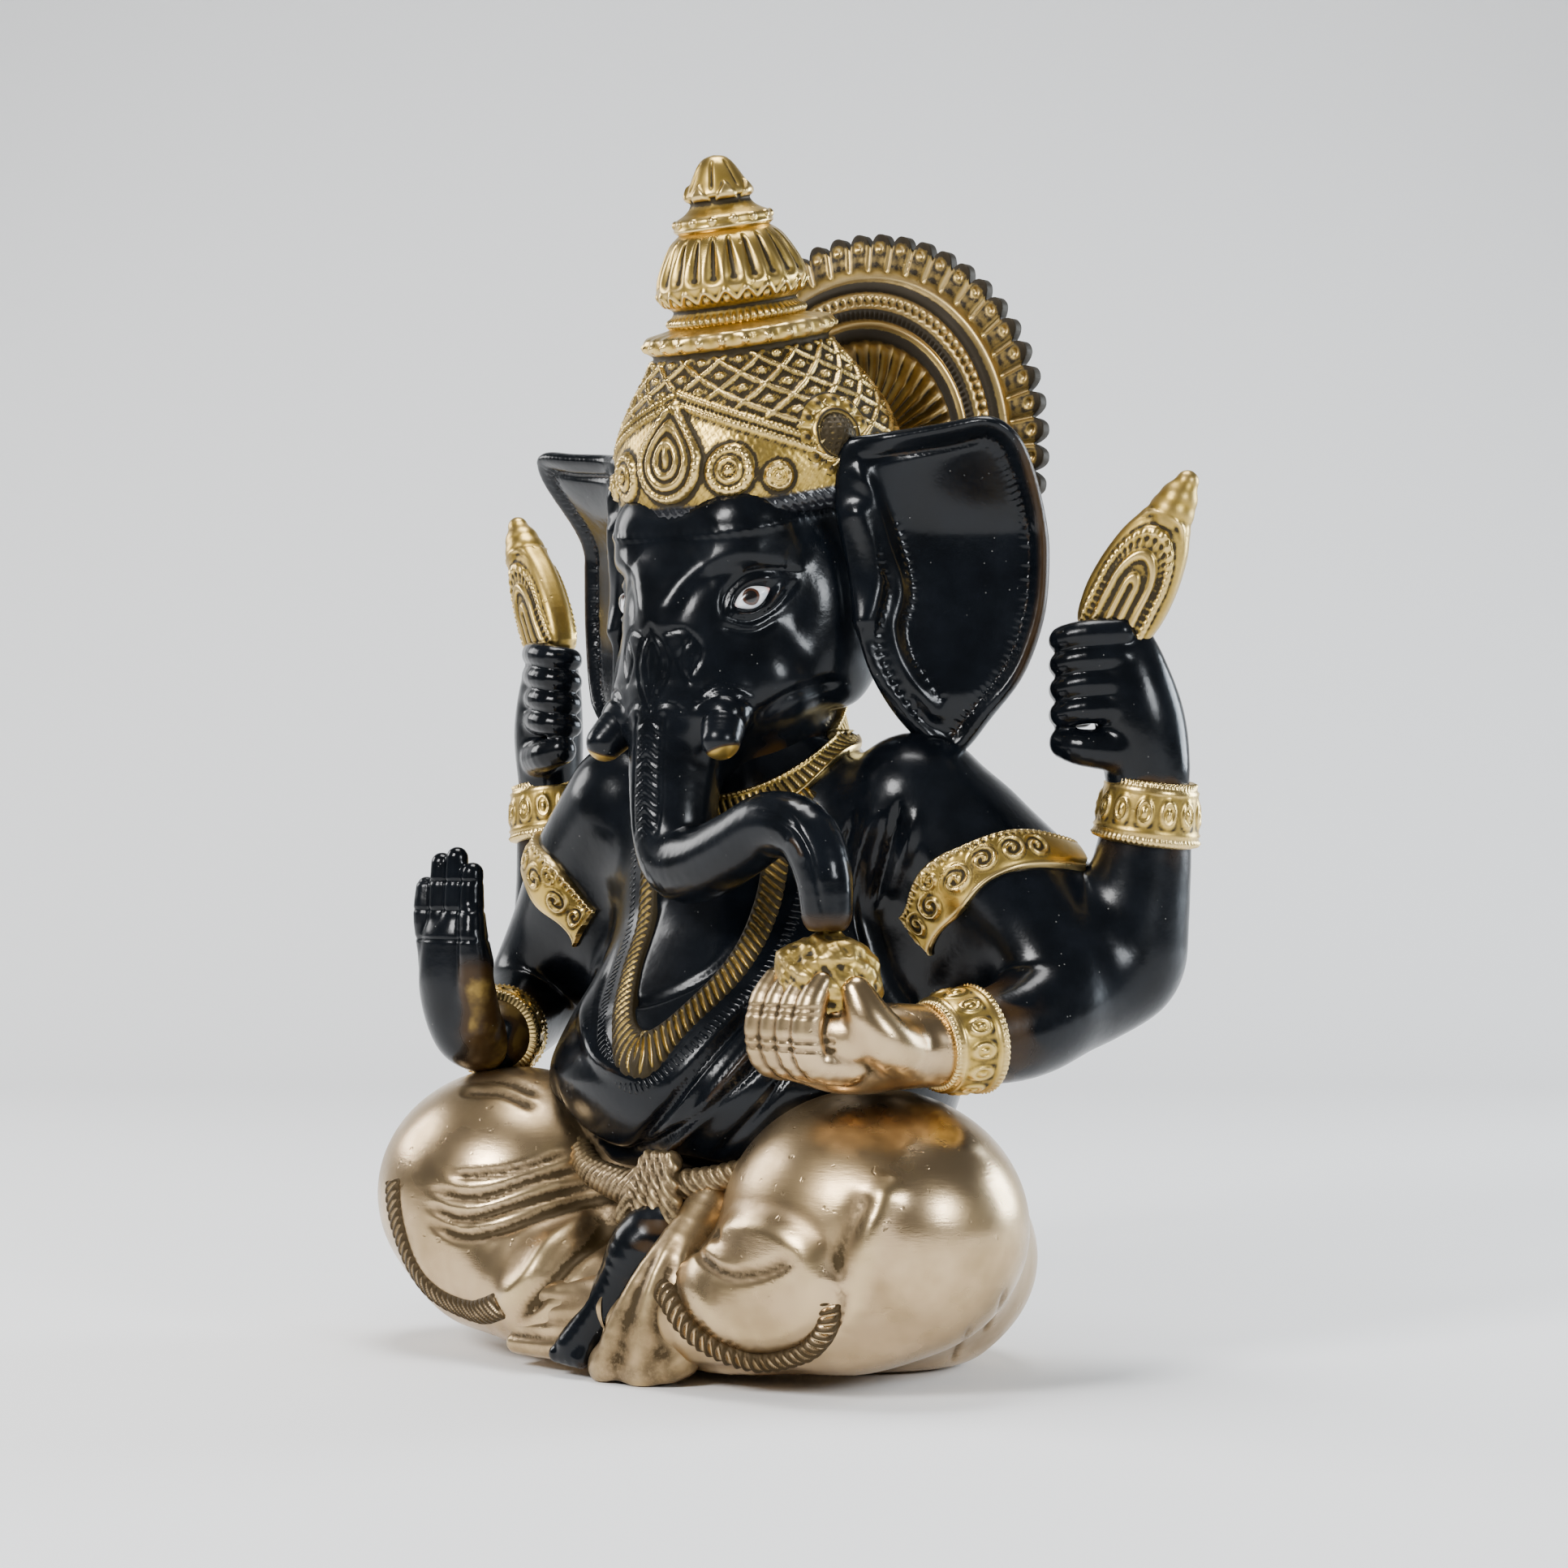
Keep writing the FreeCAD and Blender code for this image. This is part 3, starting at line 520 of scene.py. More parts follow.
def brass(name, colour, shade, patina, rough, grain, lacquered=False, patina_reach=1.0):
    """Cast brass: rubbed bright where proud, patina in hollows, painted shade where a piece asks for it, fine
    brushing and casting pits.
    """
    material, tree, shader = new_material(name)
    hollow = attribute(tree, "hollow")
    proud = attribute(tree, "proud")
    cloud = speckle(tree, 60.0, 3.0)
    grit = speckle(tree, 900.0, 2.0, 0.7)
    # Patina in hollows, plus each piece's own darkening, which on the legs is painted shade in the patina
    # colour.
    patina_and_shade_share = maths(tree, "ADD", maths(tree, "MULTIPLY", hollow, 1.3 * patina_reach), attribute(tree, "stain"))
    patina_and_shade_share = maths(tree, "ADD", patina_and_shade_share, limits(tree, cloud, 0.62, 0.8, 0.0, 0.18))
    patina_and_shade_share = maths(tree, "MULTIPLY", patina_and_shade_share, limits(tree, grit, 0.3, 0.6, 0.75, 1.1), clamp=True)
    metal = blend_colours(tree, limits(tree, cloud, 0.35, 0.65), (*colour, 1), (*shade, 1))
    metal = blend_colours(tree, maths(tree, "MULTIPLY", proud, 0.5), metal, (0.86, 0.66, 0.34, 1))
    colour_out = blend_colours(tree, patina_and_shade_share, metal, (*patina, 1))
    roughness = maths(tree, "ADD", limits(tree, cloud, 0.3, 0.7, rough - 0.05, rough + 0.07),
                      maths(tree, "MULTIPLY", patina_and_shade_share, 0.3))
    metallic = limits(tree, patina_and_shade_share, 0.2, 1.0, 1.0, 0.55)
    if lacquered:
        paint = attribute(tree, "paint")
        colour_out = blend_colours(tree, paint, colour_out, (0.011, 0.012, 0.015, 1))
        roughness = blend_values(tree, paint, roughness, 0.24)
        metallic = maths(tree, "MULTIPLY", metallic, maths(tree, "SUBTRACT", 1.0, paint))
    tree.links.new(colour_out, shader.inputs["Base Color"])
    tree.links.new(roughness, shader.inputs["Roughness"])
    tree.links.new(metallic, shader.inputs["Metallic"])
    brushed = speckle(tree, 260.0, 3.0, 0.7, grain)
    pits = limits(tree, speckle(tree, 420.0, 2.0, 0.5), 0.66, 0.76, 0.0, -1.0)
    height = maths(tree, "ADD", maths(tree, "MULTIPLY", brushed, 0.5), pits)
    bump_up(tree, shader, height, 0.35, 0.00016)
    return material


def lacquer():
    """Gloss black paint over brass: rubbed brown and gold on its proudest edges, with dust and dents."""
    material, tree, shader = new_material("black_lacquer")
    proud = attribute(tree, "proud")
    gild = attribute(tree, "gild")
    cloud = speckle(tree, 90.0, 4.0)
    worn = maths(tree, "ADD", limits(tree, proud, 0.45, 1.0, 0.0, 0.3), gild)
    worn = maths(tree, "MULTIPLY", worn, limits(tree, cloud, 0.3, 0.7, 0.75, 1.1), clamp=True)
    brown = limits(tree, worn, 0.08, 0.45)
    bare = limits(tree, worn, 0.5, 0.85)
    black = blend_colours(tree, limits(tree, cloud, 0.3, 0.7), (0.002, 0.0028, 0.004, 1),
                          (0.004, 0.0055, 0.008, 1))
    colour = blend_colours(tree, brown, black, (0.035, 0.017, 0.004, 1))
    colour = blend_colours(tree, bare, colour, (0.5, 0.33, 0.08, 1))
    place = make(tree, "ShaderNodeTexCoord").outputs["Object"]
    cells = make(tree, "ShaderNodeTexVoronoi", Vector=place, Scale=650.0)
    dust = limits(tree, cells.outputs["Distance"], 0.05, 0.12, 1.0, 0.0)
    rare = limits(tree, speckle(tree, 300.0, 1.0), 0.58, 0.64)
    dust = maths(tree, "MULTIPLY", dust, rare)
    colour = blend_colours(tree, maths(tree, "MULTIPLY", dust, 0.45), colour, (0.3, 0.3, 0.28, 1))
    tree.links.new(colour, shader.inputs["Base Color"])
    tree.links.new(maths(tree, "MULTIPLY", bare, 0.9), shader.inputs["Metallic"])
    smudge = limits(tree, speckle(tree, 45.0, 5.0), 0.35, 0.7, 0.16, 0.27)
    tree.links.new(blend_values(tree, brown, smudge, 0.38), shader.inputs["Roughness"])
    shader.inputs["Specular IOR Level"].default_value = 0.25
    dents = speckle(tree, 130.0, 2.0, 0.5)
    skin = speckle(tree, 700.0, 2.0, 0.6)
    bump_up(tree, shader, maths(tree, "ADD", dents, maths(tree, "MULTIPLY", skin, 0.25)), 0.22, 0.0005)
    return material


def eye_enamel():
    """White enamel with a painted brown iris, a dark pupil and pink corners, from baked-in place values."""
    material, tree, shader = new_material("eye_enamel")
    iris, corner = attribute(tree, "iris"), attribute(tree, "corner")
    veins = speckle(tree, 900.0, 3.0)
    white = blend_colours(tree, limits(tree, veins, 0.45, 0.75), (0.82, 0.82, 0.84, 1), (0.6, 0.66, 0.74, 1))
    colour = blend_colours(tree, limits(tree, corner, 0.35, 0.9), white, (0.7, 0.33, 0.28, 1))
    colour = blend_colours(tree, limits(tree, iris, 0.35, 0.5), colour, (0.05, 0.018, 0.008, 1))
    colour = blend_colours(tree, limits(tree, iris, 0.7, 0.8), colour, (0.004, 0.003, 0.003, 1))
    tree.links.new(colour, shader.inputs["Base Color"])
    shader.inputs["Roughness"].default_value = 0.2
    shader.inputs["Coat Weight"].default_value = 0.6
    return material


# Each brass: rubbed colour, shaded colour, colour of patina and painted shade, roughness, brushing.
MATERIALS = {
    "polished_brass": brass(
        "polished_brass", (0.57, 0.41, 0.24), (0.40, 0.28, 0.15), (0.05, 0.03, 0.008), 0.26, (1, 1, 6),
        patina_reach=1.3,
    ),
    "gilt_brass": brass(
        "gilt_brass", (0.68, 0.46, 0.115), (0.50, 0.33, 0.07), (0.028, 0.018, 0.004), 0.28, (2, 2, 2),
        lacquered=True, patina_reach=1.5,
    ),
    "antique_brass": brass(
        "antique_brass", (0.48, 0.33, 0.10), (0.27, 0.18, 0.05), (0.02, 0.013, 0.004), 0.33, (2, 2, 2),
        patina_reach=1.4,
    ),
    "black_lacquer": lacquer(),
    "eye_enamel": eye_enamel(),
}

# ---------------------------------------------------------------- lower body: crossed legs in polished cloth

def view_place(points):
    """Points as the three-quarter view sees them: across, and up."""
    return np.stack([points @ RIGHT_OF_VIEW, points[:, 2]], axis=1)


def strokes(points, normals, lines, facing=-AWAY):
    """Relief of lines drawn across the view, each (path, width, height), on faces turned to it only."""
    seen = ramp(normals @ facing, 0.05, 0.35)
    flat = view_place(points)
    relief = np.zeros(len(points))
    for path, width, height in lines:
        smooth = curve(path, 4 * len(path))
        low, high = smooth.min(0) - 4 * width, smooth.max(0) + 4 * width
        near = np.flatnonzero(((flat > low) & (flat < high)).all(axis=1) & (seen > 0))
        d, along = path_distance(flat[near], smooth)
        fade = np.minimum(1, 5 * np.minimum(along, 1 - along) + 0.15)
        relief[near] += height * bump(d, width) * seen[near] * fade
    return relief


def both_sides(points, normals, lines):
    """The same strokes on the figure's other side as well."""
    flip = np.array([-1.0, 1.0, 1.0])
    return strokes(points, normals, lines) + strokes(points * flip, normals * flip, lines)


seat = Clay((-82, -52, -3), (82, 50, 62), 0.85)
seat.egg((0, 8, 22), (62, 37, 33))
for side in (-1, 1):
    seat.egg((side * 46.5 - 0.8, -17, 31), (31, 27.5, 26.5), 9)
    seat.tube([(side * 44, -27, 20, 16), (side * 22, -33, 15, 13), (0, -34, 12, 8)], 7)
seat.halfspace((0, 0, -1), 0.0, 2.5)

KNEE_FOLDS = [
    ([(-59.8, 37), (-48.5, 38.3), (-35.6, 42)], 0.8, -0.8),
    ([(-63.7, 33.8), (-53.8, 33.1), (-42.6, 36.8), (-32.2, 38.8)], 0.9, -1.0),
    ([(-64.2, 30.5), (-56.4, 28.8), (-44.3, 32.3), (-28.7, 36)], 0.9, -1.1),
    ([(-64.2, 27.5), (-57.3, 25.2), (-48.6, 27), (-39.1, 30.5), (-24.4, 33.5)], 0.9, -1.1),
    ([(-62.8, 55.2), (-51, 55.6), (-42, 52.8)], 0.8, -0.8),
    ([(-59, 53), (-50, 53.2), (-42.6, 50.3)], 0.8, -0.8),
    ([(-49, 12), (-42.6, 18.8), (-38, 25), (-30, 29)], 2.2, 1.6),
    ([(-45, 9), (-38.5, 17), (-33, 23), (-26, 27)], 1.2, -1.2),
    ([(-9.3, 26.8), (-1.8, 23.2), (5.5, 24.8), (10.5, 27.7)], 0.9, -1.0),
    ([(-4.8, 33.8), (-6.2, 31), (-2.7, 28.9)], 1.0, -1.0),
    ([(28.7, 43), (24.8, 35.5), (22.3, 25.5), (19.5, 14)], 3.0, 1.3),
    ([(24, 40), (20, 33), (17, 24)], 2.4, -0.8),
    ([(49.8, 20.7), (48.8, 14), (47.2, 9)], 0.5, -0.5),
    ([(43.3, 14), (42.3, 8), (41.3, 2)], 0.5, -0.5),
    ([(-16, 2.5), (0, 4.5), (14, 3)], 1.2, -0.6),
]
points, quads = seat.mesh()
points = relax(points, quads, 2)
normals = vertex_normals(points, quads)
relief = strokes(points, normals, KNEE_FOLDS)
# The cloth swells inside the left hem's crescent.
flat = view_place(points)
pillow = np.hypot((flat[:, 0] - 3.0) / 16.5, (flat[:, 1] - 22.5) / 15.0)
swell = 2.1 * ramp(-pillow, -1.0, -0.62) * ramp(normals @ -AWAY, 0.2, 0.5)
crease = 0.6 * bump(pillow - 1.0, 0.05) * (flat[:, 1] < 22) * (normals @ AWAY < 0)
relief += swell - crease
points = points + normals * relief[:, None]
points[:, 2] = np.maximum(points[:, 2], 0.0)
# Painted shade darkens the lap under the belly and the tops of the legs beside the body; the fold grooves are
# darker too.
shade_under_belly = bump(points[:, 0], 26) * ramp(-points[:, 1], 5, 30) * ramp(points[:, 2], 8, 26)
stain = 0.55 * shade_under_belly + 0.45 * ramp(np.abs(points[:, 0]), 58, 30) * ramp(points[:, 2], 46, 56)
stain = stain + np.clip(-relief, 0, 1) * 0.5
add_piece("legs", ["lower_body"], "polished_brass", points, quads, {"stain": stain}, depth=0.35)

# ---------------------------------------------------------------- torso, blended into the shoulders

SHOULDER = (37, 9, 111.5, 15.5)
LEFT_FRONT_ARM = [SHOULDER, (50, 12, 98, 14.3), (61, 14.5, 86, 13.2), (68, 11.5, 75, 11.8), (67.5, 0, 69, 10),
                  (62.5, -15, 67, 8.2)]
RIGHT_FRONT_ARM = [(-37, 9, 111.5, 15.5), (-51, 12, 98, 14.3), (-61, 14, 84, 12.8), (-67, 10, 71, 11),
                   (-62, -4, 65, 9.2), (-54, -17, 64, 7.8)]
REAR_ARM = [(44, 19, 104, 12.5), (57, 24, 92.5, 12.5), (67, 27, 83.5, 12.5), (73.5, 28.5, 84.5, 12),
            (76.5, 29.5, 97, 10.2), (79, 29.5, 113, 8.2)]


def other_side(stations):
    """A left limb's stations for the right side."""
    return [(-x, *rest) for x, *rest in stations]


torso = Clay((-93, -48, 24), (93, 50, 131), 0.76)
torso.stack([(33, 14, 11, 4), (36, 27, 21, 3.5), (41, 36, 29, 3), (49, 43, 36, 3), (58, 45, 38, 3),
             (68, 41, 34.5, 3.5), (78, 37, 28, 5), (88, 36.5, 23.5, 7.5), (99, 38, 22, 9), (110, 35, 21, 9.5),
             (120, 24, 17, 8), (126, 17, 14, 7)])
torso.tube([(0, 8, 108, 20), (0, 4, 130, 17)], 8)
ARMS = {
    "left_front_arm": (LEFT_FRONT_ARM, 9, 0.55),
    "right_front_arm": (RIGHT_FRONT_ARM, 9, 0.55),
    "left_rear_arm": (REAR_ARM, 7, 0.3),
    "right_rear_arm": (other_side(REAR_ARM), 7, 0.3),
}
for stations, blend, _ in ARMS.values():
    torso.tube(stations, blend, 60)
for side in (-1, 1):
    torso.egg((side * 68, 17, 72), (8.5, 8.5, 7.0), 6)
    torso.egg((side * 71.5, 23, 75.5), (9, 10, 8.5), 6)
    torso.egg((side * 74.5, 29, 80), (9, 9, 9), 6)
    torso.egg((side * 43, 15, 82), (15, 14, 19), 8)

BODY_FOLDS = [
    ([(9, 82), (1, 72), (-8, 62), (-17, 50), (-23, 42)], 1.0, -2.0),
    ([(13, 78), (5, 68), (-4, 57), (-13, 46), (-18, 40)], 1.5, 1.7),
    ([(19, 80), (12, 66), (4, 54), (-6, 43)], 0.9, -1.0),
    ([(-40, 58), (-37.5, 50), (-31, 44.5), (-24, 42.5), (-16, 46), (-8, 52), (2, 61), (10, 70)], 0.9, -1.5),
    ([(-41, 55), (-38.0, 47), (-31.5, 41.5), (-23.5, 39.6)], 1.2, 1.2),
    ([(-17, 93), (-22, 80), (-22, 73), (-14, 75), (-5, 80), (2, 88)], 0.8, -0.9),
    ([(-29, 84), (-33, 72), (-30, 62), (-22, 58)], 1.3, 0.9),
    ([(-26, 84), (-30, 72), (-27, 63), (-21, 60)], 0.7, -0.8),
    ([(22, 112), (19, 100), (17, 90), (20, 82)], 0.8, -1.2),
    ([(26, 112), (23, 101), (21.5, 90), (24, 80)], 1.3, 1.2),
    ([(31, 113), (28, 102), (26, 92)], 0.8, -1.2),
    ([(35, 112), (31.5, 102), (29, 94)], 1.2, 0.8),
    ([(-16, 40), (0, 37.6), (14, 37.8), (28, 42)], 0.8, 1.2),
    ([(-16, 43), (0, 40.2), (14, 40.4), (28, 44.6)], 0.6, -1.0),
]
points, quads = torso.mesh()
points = relax(points, quads, 3)
normals = vertex_normals(points, quads)
relief = strokes(points, normals, BODY_FOLDS) * ramp(-np.abs(points[:, 0]), -50, -44)
points = points + normals * relief[:, None]
normals = vertex_normals(points, quads)
bent = hollows(points, quads, normals)
low_edge = ramp(-points[:, 2], -44, -36) * ramp(noise(points, 14, 3), -0.4, 0.5)

# The one skin is parted into torso and arms: front arms under their armlets, rear arms where they leave
# the back.
centres = points[quads].mean(axis=1)
owner = np.zeros(len(quads), int)
reach = np.full(len(quads), 24.0)
for number, (stations, _, _) in enumerate(ARMS.values(), 1):
    path = curve(stations, 60)
    d, along = path_distance(centres, path[:, :3])
    thick = np.interp(along, np.linspace(0, 1, len(path)), path[:, 3])
    first = np.array(stations[1][:3])
    outward = unit(np.array(stations[2][:3]) - np.array(stations[0][:3]))
    beyond = (centres - first) @ outward > 0
    nearer = beyond & (d - thick < reach) & (np.sign(centres[:, 0]) == np.sign(first[0]))
    owner[nearer] = number
    reach[nearer] = (d - thick)[nearer]
gild = 0.35 * low_edge
for stations, _, share in ARMS.values():
    d = np.linalg.norm(points - np.array(stations[-1][:3]), axis=1)
    gild = gild + share * ramp(-d, -26, -6) * ramp(noise(points, 11, 7), -0.6, 0.4)
for number, node in enumerate(["torso"] + list(ARMS)):
    mine = quads[owner == number]
    used, renumbered = np.unique(mine, return_inverse=True)
    extra = {
        "hollow": np.clip(bent[used] / 0.35, 0, 1), "proud": np.clip(-bent[used] / 0.35, 0, 1),
        "gild": gild[used],
    }
    add_piece(f"{node}_body", [node], "black_lacquer", points[used], renumbered.reshape(-1, 4), extra,
              seam_normals=normals[used])

# ---------------------------------------------------------------- head and trunk

CROWN_BASE = np.array([0, 6.0, 175.0])
LEAN = math.radians(13.2)
CROWN_UP = np.array([0, -math.sin(LEAN), math.cos(LEAN)])
CROWN_FRONT = np.array([0, -math.cos(LEAN), -math.sin(LEAN)])
CROWN_SIDE = np.array([1.0, 0, 0])

TRUNK = [
    (0, -10, 155, 14.5), (0, -15, 146, 13.2), (0, -19, 134, 11.4), (0, -22, 120, 9.6), (1, -24, 107, 8.4),
    (5, -26, 101, 7.9), (13, -28.5, 101, 7.3), (23, -31, 104.5, 6.9), (33, -33, 108.5, 6.5),
    (42, -34.5, 107, 6.1), (47, -35.3, 100, 5.6), (48, -35.3, 92, 4.9),
]
head = Clay((-34, -44, 112), (34, 36, 192), 0.6)
head.egg((0, 4, 162), (25, 26, 26))
head.egg((0, -7, 149), (20, 20.5, 24), 7)
for side in (-1, 1):
    head.egg((side * 12.5, -9.5, 137), (11, 11.5, 11), 6)
    head.egg((side * 9.5, -13, 168), (11.5, 10.5, 10), 6)
    head.egg((side * 21, 4, 148), (7, 12, 16), 6)
    head.tube([(side * 9, -17, 138, 6.5), (side * 13.5, -22.5, 130, 4.6)], 4)
head.egg((0, 0, 131), (17, 17, 13), 6)
head.tube([(0, 6, 112, 17), (0, 3, 130, 16)], 5)
head.tube(TRUNK, 6, 40)
for side in (-1, 1):
    head.egg((side * 19.2, -22.2, 153.5), (6.0, 4.6, 3.4), 3.0, side * 45, carve=True)
head.halfspace((0, 0, 1), 186.0, 1.0)

BROW = [(-17.9, 145.8), (-14.3, 154), (-7.2, 160), (0, 161.6), (8.8, 160.6)]
LID_TOP = [(-4.2, 149.6), (-3.4, 154.2), (0.8, 158.2), (6, 159), (12, 158.5)]
LID_LOW = [(-3.6, 149.8), (1.2, 148.8), (6.4, 151.6), (10.8, 157)]
FACE_LINES = [
    (BROW, 2.6, 0.9),
    ([(-13, 149), (-10, 155), (-4, 158.4), (4, 159.4)], 1.6, -0.35),
    (LID_TOP, 0.65, -0.55),
    ([(-3.0, 151), (-1.8, 154.4), (1.8, 156.8), (6.4, 157.2)], 0.7, 0.6),
    ([(-2.8, 150.4), (1.4, 150.1), (5.4, 152.6), (7.6, 156.2)], 0.7, 0.6),
    (LID_LOW, 0.6, -0.5),
    ([(-4.6, 147.6), (2, 146.6), (7, 149.4)], 0.7, -0.4),
    ([(1.9, 129), (9.5, 134.3), (19.6, 137.3)], 1.2, -0.8),
    ([(-9, 133.5), (-4, 136), (2, 134)], 0.5, -0.4),
    ([(-10, 131.5), (-4, 134.2), (3, 131.5)], 0.5, -0.4),
]


def front_lines(points, normals, lines):
    """Lines drawn on the front (x across, z up), both halves alike."""
    seen = ramp(-normals[:, 1], -0.1, 0.3)
    flat = np.stack([np.abs(points[:, 0]), points[:, 2]], axis=1)
    relief = np.zeros(len(points))
    for path, width, height in lines:
        smooth = curve(path, 5 * len(path))
        low, high = smooth.min(0) - 4 * width, smooth.max(0) + 4 * width
        near = np.flatnonzero(((flat > low) & (flat < high)).all(axis=1) & (seen > 0))
        d, _ = path_distance(flat[near], smooth)
        relief[near] += height * bump(d, width) * seen[near]
    return relief


# Engraved lotus and a ladder of short cuts down the front of the trunk.
TILAK = [
    ([(0, 148), (3.2, 143), (3.6, 138), (0, 131)], 0.4, -0.4),
    ([(0, 145), (1.6, 141), (0, 134)], 0.35, -0.35),
    ([(3.2, 146.5), (7, 147), (10, 143), (8.5, 138.5)], 0.4, -0.35),
    ([(8, 145), (6, 141), (8, 136.5)], 0.35, -0.3),
    ([(0, 131), (4, 132.5), (7, 131)], 0.35, -0.3),
    ([(3.4, 130), (3.4, 122), (3.6, 112), (3.2, 107)], 0.4, -0.35),
]


def trunk_ladder(points, normals):
    """Short slanting cuts between the two engraved lines down the trunk."""
    band = ramp(3.2 - np.abs(points[:, 0]), 0, 0.6) * ramp(-normals[:, 1], 0.2, 0.6)
    reach = ramp(points[:, 2], 104, 108) * ramp(-points[:, 2], -131, -127)
    wave = np.sin((points[:, 2] + 0.7 * np.abs(points[:, 0])) * 2 * np.pi / 1.9)
    return -0.28 * band * reach * ramp(wave, 0.2, 0.9)


points, quads = head.mesh()
points = relax(points, quads, 2)
normals = vertex_normals(points, quads)
relief = both_sides(points, normals, FACE_LINES) + front_lines(points, normals, TILAK)
relief += trunk_ladder(points, normals)
# A twisted cord round the forehead, just under the crown.
cord_up = (points - CROWN_BASE) @ CROWN_UP
cord_turn = np.arctan2((points - CROWN_BASE) @ CROWN_SIDE, (points - CROWN_BASE) @ CROWN_FRONT)
cord = 0.35 * bump(cord_up + 1.9, 0.8) * (0.8 + 0.25 * np.sin(cord_turn * 92 + cord_up * 2.6))
relief += cord * ramp(-normals[:, 2], -0.9, -0.7)
points = points + normals * relief[:, None]
neck_stain = ramp(-points[:, 2], -134, -122) * ramp(points[:, 1], -16, -8)
gild = 0.42 * neck_stain * ramp(noise(points, 9, 5), -0.6, 0.3)
add_piece("head_body", ["head"], "black_lacquer", points, quads, {"gild": gild}, depth=0.22)

trunk = Clay((-14, -46, 82), (58, -8, 124), 0.5)
trunk.tube(TRUNK, 0, 44)
trunk.egg((48, -35.3, 88.6), (2.4, 2.4, 2.6), 1.5, carve=True)
points, quads = trunk.mesh()
points = relax(points, quads, 2)
normals = vertex_normals(points, quads)
TRUNK_LINES = [
    ([(2, 111), (7, 110), (12, 105), (14, 98), (15, 92)], 0.45, -0.35),
    ([(5, 112.5), (9.5, 109.5), (12.5, 103)], 0.45, -0.3),
    ([(8.5, 106), (10.5, 104.5), (11.5, 102)], 0.9, 0.4),
]
relief = strokes(points, normals, TRUNK_LINES) + front_lines(points, normals, TILAK)
relief += trunk_ladder(points, normals)
points = points + normals * relief[:, None]
tip = 0.5 * ramp(-points[:, 2], -94, -89) * ramp(points[:, 0], 38, 42)
add_piece("trunk_body", ["trunk"], "black_lacquer", points, quads, {"gild": tip}, depth=0.22)


def sphere_grid(rows, columns):
    """Points of a unit sphere as rows of latitude, its poles left a hair open."""
    lat = np.linspace(-math.pi / 2 + 0.02, math.pi / 2 - 0.02, rows)[:, None]
    lon = np.linspace(0, 2 * math.pi, columns, endpoint=False)[None, :]
    return np.stack([np.cos(lat) * np.cos(lon), np.cos(lat) * np.sin(lon), np.sin(lat) + 0 * lon], axis=-1)


for side, name in SIDES:
    # The eye: an almond seated in the lids, its white slanting up and outward.
    way = unit([0.66 * side, -0.75, 0.02])
    across = unit(np.cross([0, 0, 1], way)) * side
    up = np.cross(way, across) * side
    across, up = unit(across + 0.52 * up), unit(up - 0.52 * across)
    ball = sphere_grid(28, 40)
    across_share, up_share = ball @ [0, 0, 1.0], ball @ [0, 1.0, 0]
    almond = 1 - 0.6 * across_share**2
    place = (
        across * (across_share * 4.1)[..., None]
        + up * (up_share * 2.15 * almond)[..., None]
        + way * ((ball @ [1.0, 0, 0]) * 1.7)[..., None]
    )
    centre = np.array([side * 16.2, -18.2, 153.4])
    ahead = (ball @ [1.0, 0, 0]) > 0
    spot = np.hypot((across_share * 4.1) + 0.1, up_share * 2.15 - 0.2)
    extra = {"iris": np.clip(1.45 - spot / 1.75, 0, 1) * ahead, "corner": np.abs(across_share) ** 3}
    add_grid(f"eye_{name}", [f"{name}_eye"], "eye_enamel", centre + place, extra=extra)

    # The cut tusk: a black stump in a ringed socket, its tip gilded.
    tusk = Clay((side * 13.5 - 9, -34, 116), (side * 13.5 + 9, -14, 138), 0.35)
    tusk.tube([(side * 10.5, -19, 133, 5.0), (side * 13.4, -23.6, 128.2, 4.5),
               (side * 15.0, -26.4, 125.0, 3.9)],
              0, 10)
    points, quads = tusk.mesh()
    run = (points - np.array([side * 10.5, -19, 133])) @ unit([side * 5.5, -8, -10.2])
    ring = 0.35 * bump(run - 4.2, 0.5) + 0.25 * bump(run - 5.8, 0.4)
    points = points + vertex_normals(points, quads) * ring[:, None]
    underside = 0.9 * ramp(-points[:, 2] + 0.35 * side * (points[:, 0] - side * 15), -123.6, -122.2)
    add_piece(f"tusk_{name}", [f"{name}_tusk"], "black_lacquer", points, quads, {"gild": underside})

# ---------------------------------------------------------------- ears

EAR_DEPTH = -19.8
EAR_OUTLINE = [
    (18, 177), (19.5, 184.6), (26.2, 186.2), (39, 187.6), (48, 188.6), (53.5, 185.5), (57.3, 179),
    (60.3, 169.3), (61.0, 161), (60.0, 149.8), (56.0, 138.5), (49.6, 129.8), (44.0, 123.0), (39, 122.6),
    (31.6, 128.6), (25.4, 138), (22.2, 148.2), (20.5, 159.5), (18.4, 169.3),
]


def outline_distance(flat, loop):
    """Signed distance in the plane to a closed outline, negative inside."""
    ring = np.vstack([loop, loop[:1]])
    d, along = path_distance(flat, ring)
    turns = np.zeros(flat.shape[:-1], bool)
    for (ax, ay), (bx, by) in zip(ring, ring[1:]):
        crosses = (ay > flat[..., 1]) != (by > flat[..., 1])
        x_at = ax + (flat[..., 1] - ay) * (bx - ax) / ((by - ay) or 1e-9)
        turns ^= crosses & (flat[..., 0] < x_at)
    return np.where(turns, -d, d), along


def ear_forward(u, z):
    """How far the ear's sheet stands toward the viewer: cupped, with its top corner curling forward."""
    curl = 13.0 * ramp(z, 166, 190) * ramp(u, 20, 50)
    cup = -3.4 * bump(np.hypot((u - 41) / 15, (z - 160) / 24), 1.0)
    root = 2.2 * bump(u - 23.5, 5.0) * ramp(z, 128, 140)
    return curl + cup + root - 4.0 * ramp(z, 136, 122)


